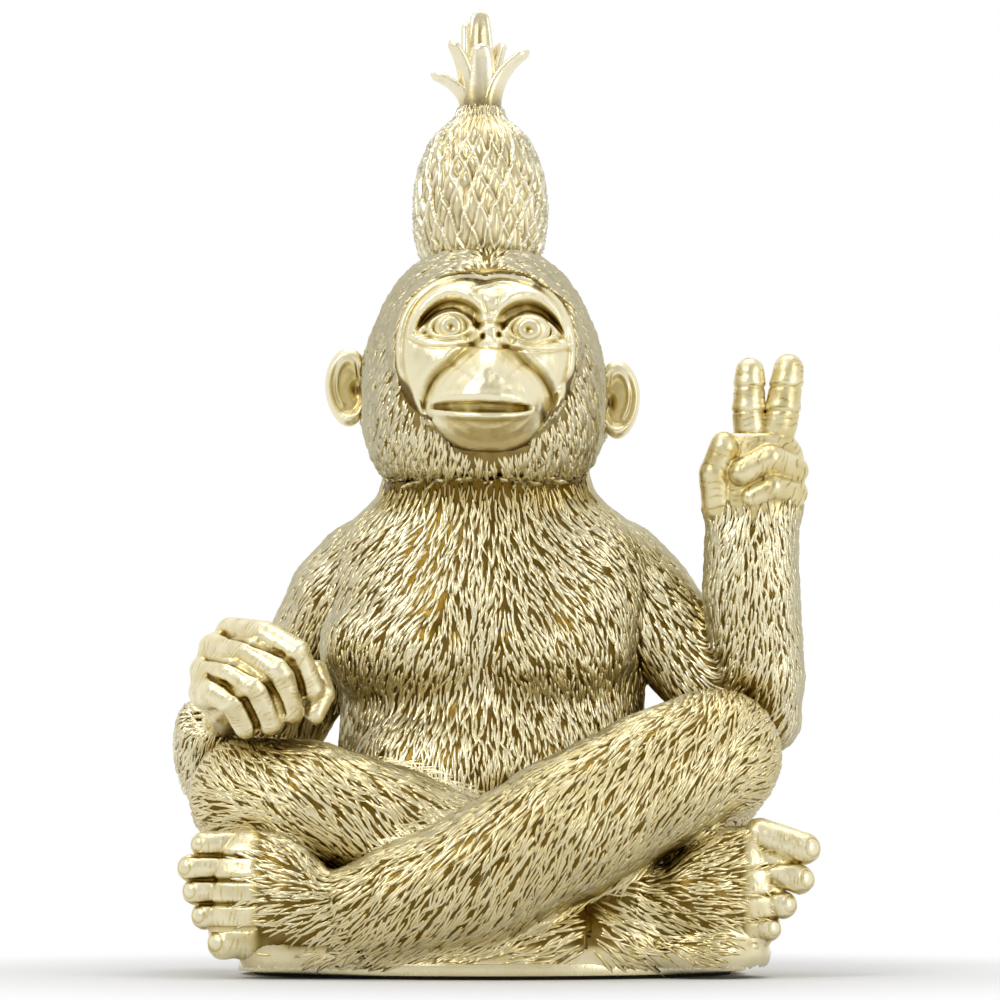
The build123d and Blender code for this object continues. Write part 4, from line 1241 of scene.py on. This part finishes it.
def ear_piece(name, middle, half, side):
    """An ear: a rolled rim round a bowl, with an inner fold, a lobe and the pit of the ear."""
    ear = bmesh.new()
    bmesh.ops.create_uvsphere(ear, u_segments=96, v_segments=64, radius=1)
    bmesh.ops.rotate(ear, matrix=Matrix.Rotation(radians(90), 3, "X"), verts=ear.verts)
    places = places_of(ear)
    out, ahead, up = places[:, 0] * side, -places[:, 1], places[:, 2]
    reach = np.hypot(out, up)
    fuller = 1 + 0.10 * np.cos(np.arctan2(up - 0.25, out)) + 0.05 * up
    front = smooth_step(ahead, -0.05, 0.25)
    bowl = 2.5 * (1 - smooth_step(reach, 0.55, 0.86))
    outer_side = smooth_step(out + up * 0.6, -0.25, 0.15)
    fold = 1.1 * hump(np.hypot(out - 0.02, (up - 0.06) * 0.86), 0.50, 0.09) * outer_side
    pit = 1.6 * dome(out + 0.30, 0.20, up + 0.08, 0.16)
    notch = 0.9 * dome(out + 0.75, 0.20, up + 0.10, 0.14)
    lobe = 0.7 * dome(out, 0.45, up + 0.80, 0.22)
    depth = (bowl - fold + pit - notch - lobe) * front
    x = middle[0] + places[:, 0] * half[0] * fuller
    y = middle[1] + places[:, 1] * half[1] + depth
    z = middle[2] + up * half[2]
    place_points(ear, np.stack([x, y, z], 1))
    mesh = mesh_of(ear, name)
    # painted shade in the bowl and the pit of the ear
    low = np.clip((bowl - fold + pit) * front / 4.2, 0, 1)
    stamp(mesh, ridge=0.9 - 0.45 * low, open=1.0 - 0.55 * low)
    return finish_piece(mesh, name, "head_casting", skin_gold)


# Half the head's width, past which the roots of the cast ears are pressed in; the ears are pieces of their own
HEAD_HALF, EAR_ROOT_SHARE = 30.3, 0.1
FACE_FRONT = -12  # the bare face lies in front of this
# Painted shade on the head's skin between the locks, and the painted light of the head's fur
HEAD_TONE, HEAD_FUR_TONE = 0.18, 1.04


def dress_head():
    """The head: its skin, its fur in three areas, the bare face, the eyes and the ears."""
    skin = evened(cast_form("head_casting"), 0.7).keep_outside()
    skin.relax(8)
    skin.settle()
    wide = skin.points[:, 0] - HEAD[0]
    far = np.abs(wide)
    pressed = np.where(far > HEAD_HALF, HEAD_HALF + EAR_ROOT_SHARE * (far - HEAD_HALF), far)
    skin.points[:, 0] = HEAD[0] + np.sign(wide) * pressed
    skin.relax(2)
    skin.settle()
    front_tree = skin.tree()
    x, y, z = skin.points.T
    behind = (bare_gap(x, z) < 0.955) & (y < FACE_FRONT)
    skin.points[:, 1] = np.where(behind, np.maximum(y, face_depth(x, z) + 1.6), y)
    skin.settle()
    tree = skin.tree()
    # painted shade in the folds of the head, where little sky is seen
    opens = open_share(skin, tree)
    stamp(skin.mesh, ridge=np.full(len(skin.points), HEAD_TONE), open=opens)
    middle, upright = skin.squares()
    x, y, z = middle.T
    furred = ~((bare_gap(x, z) < 0.94) & (y < FACE_FRONT))
    under = z < HEAD[2] - 29.0
    beard = furred & (z > HEAD[2] - 28.5) & (z < HEAD[2] - 17.0) & (y < FACE_FRONT) & (np.abs(x - HEAD[0]) < 20)
    crown = (z > HEAD[2] + 12) & (y < 12)
    for name, area, gaps, size, hang in (
        ("crown_fur", furred & crown, (0.76, 2.0), (1.30, 6.6, 0.90), 0.0),
        ("head_fur", furred & ~under & ~crown, (0.80, 2.3), (1.40, 8.0, 0.95), 0.0),
        ("beard_fur", beard, (1.0, 2.6), (1.4, 9.5, 0.90), 0.65),
    ):
        spots, normals = middle[area], upright[area]
        lay_fur(name, "head_casting", skin, tree, opens, spots, normals, gaps, size, HEAD_FUR_TONE, hang)
    finish_piece(skin.mesh, "head_skin", "head_casting", fur_gold)
    face_piece(front_tree)
    eyeball("resting_side_eye", *EYES[0])
    eyeball("raised_side_eye", *EYES[1])
    ear_piece("resting_side_ear", (-38.0, 0.5, 150.6), (5.6, 3.5, 10.2), -1)
    ear_piece("raised_side_ear", (31.2, 0.5, 147.4), (5.4, 3.5, 10.2), 1)


dress_head()

# ---------------------------------------------------------------- pineapple

FRUIT_FOOT, FRUIT_HEIGHT, FRUIT_RADIUS = np.array([-4.1, -1.0, 179.0]), 44.5, 17.6
# The fruit's girth: shares of its radius at shares of its height
FRUIT_HEIGHTS = (0, 0.15, 0.28, 0.39, 0.52, 0.65, 0.76, 0.835, 0.89, 0.925, 0.945, 0.985, 1.0)
FRUIT_GIRTHS = (0.74, 0.93, 0.985, 1.0, 0.975, 0.90, 0.785, 0.66, 0.51, 0.385, 0.365, 0.36, 0.30)
# The ridges round the fruit, in each of two directions, and how many scales they climb past from foot to top
RIDGES, CLIMB = 26, 4.3


def spun(profile, turns):
    """A closed form spun round the upright axis from (radius, height) places, from its foot to its top."""
    form = bmesh.new()
    line = [form.verts.new((radius, 0, height)) for radius, height in profile]
    runs = [form.edges.new(pair) for pair in zip(line, line[1:])]
    bmesh.ops.spin(
        form, geom=line + runs, cent=(0, 0, 0), axis=(0, 0, 1), dvec=(0, 0, 0), angle=2 * pi, steps=turns,
        use_merge=True,
    )
    bmesh.ops.remove_doubles(form, verts=form.verts, dist=0.0005)
    bmesh.ops.recalc_face_normals(form, faces=form.faces)
    return form


def fruit_piece():
    """The fruit: a barrel spun round its axis, cut by two sets of crossing ridges into long scales."""
    share = np.linspace(0, 1, 150)
    girth = np.interp(share, FRUIT_HEIGHTS, FRUIT_GIRTHS)
    for _ in range(9):
        girth[1:-1] = (girth[:-2] + 2 * girth[1:-1] + girth[2:]) / 4
    wall = list(zip((girth * FRUIT_RADIUS).tolist(), (share * FRUIT_HEIGHT).tolist()))
    skin = Skin(mesh_of(spun([(0, 0)] + wall + [(0, FRUIT_HEIGHT)], 336), "fruit"))
    skin.settle()
    turn = np.arctan2(skin.points[:, 1], skin.points[:, 0])
    height = skin.points[:, 2] / FRUIT_HEIGHT
    radius = np.hypot(skin.points[:, 0], skin.points[:, 1])
    # hand-cut lines wander a little
    wander = 0.16 * np.sin(3 * turn + 7 * height) + 0.11 * np.sin(11 * turn - 13 * height)
    wander += 0.07 * np.sin(23 * turn + 31 * height)
    one = RIDGES * turn / (2 * pi) + CLIMB * height + wander
    two = RIDGES * turn / (2 * pi) - CLIMB * height - 0.8 * wander
    edge = np.minimum(np.abs(one - np.rint(one)), np.abs(two - np.rint(two)))
    lattice = hump(edge, 0, 0.095 + 0.03 * np.sin(7 * turn + 19 * height))
    up = (one - np.floor(one)) + 1 - (two - np.floor(two))
    scale = 0.62 * smooth_step(edge, 0.10, 0.42) * (0.35 + 0.65 * np.clip(up / 2, 0, 1))
    lean = 0.55 * (up / 2 - 0.5)
    body = smooth_step(radius, 3.0, 6.0)
    skin.push((1.05 * lattice + scale + lean - 0.95) * body * (0.75 + 0.25 * smooth_step(height, 0.95, 0.70)))
    skin.points = skin.points + FRUIT_FOOT
    skin.settle()
    # painted highlight on the ridges and scales, painted shade in the hollows between them
    ridge = np.clip(0.24 + 0.80 * lattice + 0.95 * scale + 0.50 * lean, 0.05, 1)
    stamp(skin.mesh, ridge=ridge, open=0.72 + 0.28 * np.clip(lattice + scale, 0, 1))
    return finish_piece(skin.mesh, "fruit", "pineapple_fruit", fruit_gold)


# Leaves of the crown: compass direction in degrees, reach, rise, half width at the root, all but the first in mm
LEAVES = (
    ("broad_front_leaf", -85, 1.4, 17.0, 4.3),
    ("outer_right_leaf", -14, 9.8, 15.2, 4.2),
    ("small_right_leaf", 40, 4.6, 18.6, 3.3),
    ("tall_back_leaf", 92, 0.4, 27.2, 3.9),
    ("second_back_leaf", 140, 1.4, 23.8, 3.5),
    ("small_left_leaf", 207, 5.6, 17.8, 3.3),
    ("outer_left_leaf", 186, 9.6, 9.4, 3.6),
    ("low_back_leaf", 100, 8.4, 13.4, 3.6),
)
# A leaf's width along it, from root to tip, as shares of its half width
LEAF_SPOTS, LEAF_WIDTHS = (0, 0.15, 0.45, 0.75, 0.92, 1.0), (0.95, 1.0, 0.88, 0.68, 0.54, 0.36)
LEAF_FULLNESS = 1.12
LEAF_ROOT_DROP, LEAF_ROOT_OUT = 1.2, 3.3  # how deep in the fruit and how far from its axis a leaf starts


def leaf_piece(name, compass, reach, rise, half_width):
    """One leaf: a blade with a groove down its inner face, standing up and then curling out."""
    blade = bmesh.new()
    bmesh.ops.create_cone(blade, cap_ends=True, segments=28, radius1=1, radius2=1, depth=1)
    bmesh.ops.subdivide_edges(blade, edges=standing_edges(blade), cuts=22)
    local = places_of(blade)
    along = local[:, 2] + 0.5
    out_way = np.array([cos(radians(compass)), sin(radians(compass)), 0.0])
    side_way = np.array([-out_way[1], out_way[0], 0.0])
    root = FRUIT_FOOT + np.array([0, 0, FRUIT_HEIGHT - LEAF_ROOT_DROP]) + out_way * LEAF_ROOT_OUT
    out = reach * (0.12 * along + 0.88 * along**2.3)
    climb = rise * (along - 0.10 * along**3) / 0.90
    slope_out = reach * (0.12 + 2.024 * along**1.3)
    slope_up = rise * (1 - 0.30 * along**2) / 0.90
    length = np.hypot(slope_out, slope_up)
    face_out, face_up = slope_up / length, -slope_out / length
    tip = np.sqrt(np.clip(1 - np.clip((along - 0.90) / 0.10, 0, 1) ** 2, 0.02, 1))
    width = LEAF_FULLNESS * half_width * np.interp(along, LEAF_SPOTS, LEAF_WIDTHS) * tip
    thick = (1.25 + 0.95 * (1 - along)) * tip
    groove = 0.75 * hump(local[:, 0], 0, 0.42) * (1 - smooth_step(along, 0.75, 0.98))
    groove = groove * np.where(local[:, 1] < 0, 1.0, -0.45)
    lift = local[:, 1] * thick + groove - 0.35 * (local[:, 0] ** 2) * width * 0.5
    place = root + out_way * (out + face_out * lift)[:, None] + side_way * (local[:, 0] * width)[:, None]
    place[:, 2] += climb + face_up * lift
    place_points(blade, place)
    bmesh.ops.recalc_face_normals(blade, faces=blade.faces)
    mesh = mesh_of(blade, name)
    # painted shade in the groove and towards the root, deep in the crown
    ridge = 0.78 - 0.6 * np.clip(groove, 0, 1) - 0.45 * (1 - smooth_step(along, 0.0, 0.45))
    stamp(mesh, ridge=np.clip(ridge, 0, 1), open=np.clip(0.55 + 0.6 * along, 0, 1))
    return finish_piece(mesh, name, "pineapple_crown", fruit_gold)


def dress_pineapple():
    fruit_piece()
    for leaf in LEAVES:
        leaf_piece(*leaf)


dress_pineapple()

# ---------------------------------------------------------------- base plate

# The pour hole: its radius and how far behind the plate's middle it lies
HOLE_RADIUS, HOLE_BACK = 11, 15.0
RIM_BEVEL = 0.35


def base_piece():
    """The plate that closes the casting: an oval with a softened rim and the pour hole through it."""
    low, high = in_mm(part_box("base_plate"))
    middle, half = (low + high) / 2, (high - low) / 2
    plate = bmesh.new()
    outer = bmesh.ops.create_circle(plate, segments=256, radius=1)["verts"]
    bmesh.ops.scale(plate, vec=(half[0], half[1], 1), verts=outer)
    hole = bmesh.ops.create_circle(plate, segments=256, radius=HOLE_RADIUS)["verts"]
    bmesh.ops.translate(plate, vec=(0, HOLE_BACK, 0), verts=hole)
    bmesh.ops.bridge_loops(plate, edges=plate.edges[:])
    upper = points_in(bmesh.ops.extrude_face_region(plate, geom=plate.faces[:])["geom"])
    bmesh.ops.translate(plate, vec=(0, 0, high[2] - low[2]), verts=upper)
    sharp = [edge for edge in plate.edges if edge.is_manifold and edge.calc_face_angle() > 1.2]
    bmesh.ops.bevel(plate, geom=sharp, offset=RIM_BEVEL, segments=4, profile=0.5, affect="EDGES", material=-1)
    bmesh.ops.translate(plate, vec=(middle[0], middle[1], low[2]), verts=plate.verts)
    bmesh.ops.recalc_face_normals(plate, faces=plate.faces)
    mesh = mesh_of(plate, "base")
    plain = np.full(len(mesh.vertices), 0.8)
    stamp(mesh, ridge=plain, open=plain)
    return finish_piece(mesh, "base", "base_plate", plate_gold)


base_piece()

# ---------------------------------------------------------------- floor, light and background

WHITE = (1, 1, 1, 1)
# Each lamp: its place, its two sizes in metres and its power in watts
LAMPS = {
    "key": ((-0.55, -0.75, 0.75), (0.45, 0.45), 3.2),
    "fill": ((0.70, -0.65, 0.35), (0.35, 0.6), 1.8),
    "top": ((0.0, 0.05, 1.0), (0.6, 0.5), 2.4),
}
LAMP_AIM = (0, 0, 0.12)


def softbox(name, place, size, power):
    light = bpy.data.lights.new(name, "AREA")
    light.shape = "RECTANGLE"
    light.size, light.size_y = size
    light.energy = power
    lamp = bpy.data.objects.new(name, light)
    scene.collection.objects.link(lamp)
    lamp.location = place
    lamp.rotation_euler = (Vector(LAMP_AIM) - Vector(place)).to_track_quat("-Z", "Y").to_euler()


def white_floor():
    """A pale floor that keeps the object's shadow and turns plain white further out."""
    material, wiring, shader = new_material("white_sweep")
    wiring.feed(shader, {"Base Color": (0.86, 0.86, 0.86, 1), "Roughness": 0.7})
    path = wiring.node("ShaderNodeLightPath").outputs
    seen = wiring.math("MAXIMUM", path["Is Camera Ray"], path["Is Glossy Ray"])
    seen = wiring.math("MAXIMUM", seen, path["Is Transmission Ray"])
    place = wiring.node("ShaderNodeTexCoord").outputs["Object"]
    length = wiring.node("ShaderNodeVectorMath", {0: place}, operation="LENGTH").outputs["Value"]
    share = wiring.math("MULTIPLY", wiring.remap(length, 0.07, 0.22), seen)
    glow = wiring.node("ShaderNodeEmission", {"Color": WHITE, "Strength": 1.0})
    mixed = wiring.node("ShaderNodeMixShader", {0: share, 1: shader.outputs[0], 2: glow.outputs[0]})
    wiring.feed(material.node_tree.nodes["Material Output"], {"Surface": mixed.outputs[0]})
    return material


def white_room():
    """A plain half-bright world, white to the camera and, from the front to the back, to the gloss."""
    world = bpy.data.worlds.new("studio")
    scene.world = world
    world.use_nodes = True
    wiring = Wiring(world.node_tree)
    room = world.node_tree.nodes["Background"]
    wiring.feed(room, {"Color": WHITE, "Strength": 0.5})
    white = wiring.node("ShaderNodeBackground", {"Color": WHITE, "Strength": 1.0})
    path = wiring.node("ShaderNodeLightPath").outputs
    seen = wiring.math("MAXIMUM", path["Is Camera Ray"], path["Is Transmission Ray"])
    place = wiring.node("ShaderNodeTexCoord").outputs["Generated"]
    depth = wiring.node("ShaderNodeSeparateXYZ", {0: place}).outputs["Y"]
    shown = wiring.math("MULTIPLY", path["Is Glossy Ray"], wiring.remap(depth, -0.85, 0.25, 0.22, 1.0))
    share = wiring.math("MAXIMUM", seen, shown)
    mixed = wiring.node("ShaderNodeMixShader", {0: share, 1: room.outputs[0], 2: white.outputs[0]})
    wiring.feed(world.node_tree.nodes["World Output"], {"Surface": mixed.outputs[0]})


def studio():
    floor_form = bmesh.new()
    bmesh.ops.create_grid(floor_form, x_segments=8, y_segments=8, size=3.0)
    floor = bpy.data.objects.new("floor", mesh_of(floor_form, "floor"))
    scene.collection.objects.link(floor)
    floor.data.materials.append(white_floor())
    white_room()
    for name, lamp in LAMPS.items():
        softbox(name, *lamp)
    scene.view_settings.view_transform = "Standard"


studio()

# ---------------------------------------------------------------- hidden parts keep their CAD shape


def plain_finish(name, color, roughness, size, bump):
    """One colour, lighter and darker by a fine grain that is felt as well."""
    material, wiring, shader = new_material(name)
    grain = wiring.noise(wiring.node("ShaderNodeTexCoord").outputs["Object"], size, 4)
    ramp = wiring.node("ShaderNodeValToRGB", {"Fac": grain})
    for stop, share in zip(ramp.color_ramp.elements, (0.7, 1.3)):
        stop.color = (*[min(1, part * share) for part in color], 1)
    normal = wiring.bump(grain, bump)
    wiring.feed(shader, {"Base Color": ramp.outputs["Color"], "Normal": normal, "Roughness": roughness})
    return material


steel = plain_finish("pin_steel", (0.5, 0.5, 0.51), 0.35, 1200, 0.2)
HIDDEN_FINISHES = {
    "felt_pad": plain_finish("black_felt", (0.03, 0.027, 0.024), 0.95, 2500, 0.8),
    "pour_hole_bung": plain_finish("bung_rubber", (0.03, 0.03, 0.03), 0.6, 900, 0.3),
}
for name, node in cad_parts.items():
    if node.hide_render:
        continue
    node.data.materials.clear()
    node.data.materials.append(HIDDEN_FINISHES.get(name, steel))
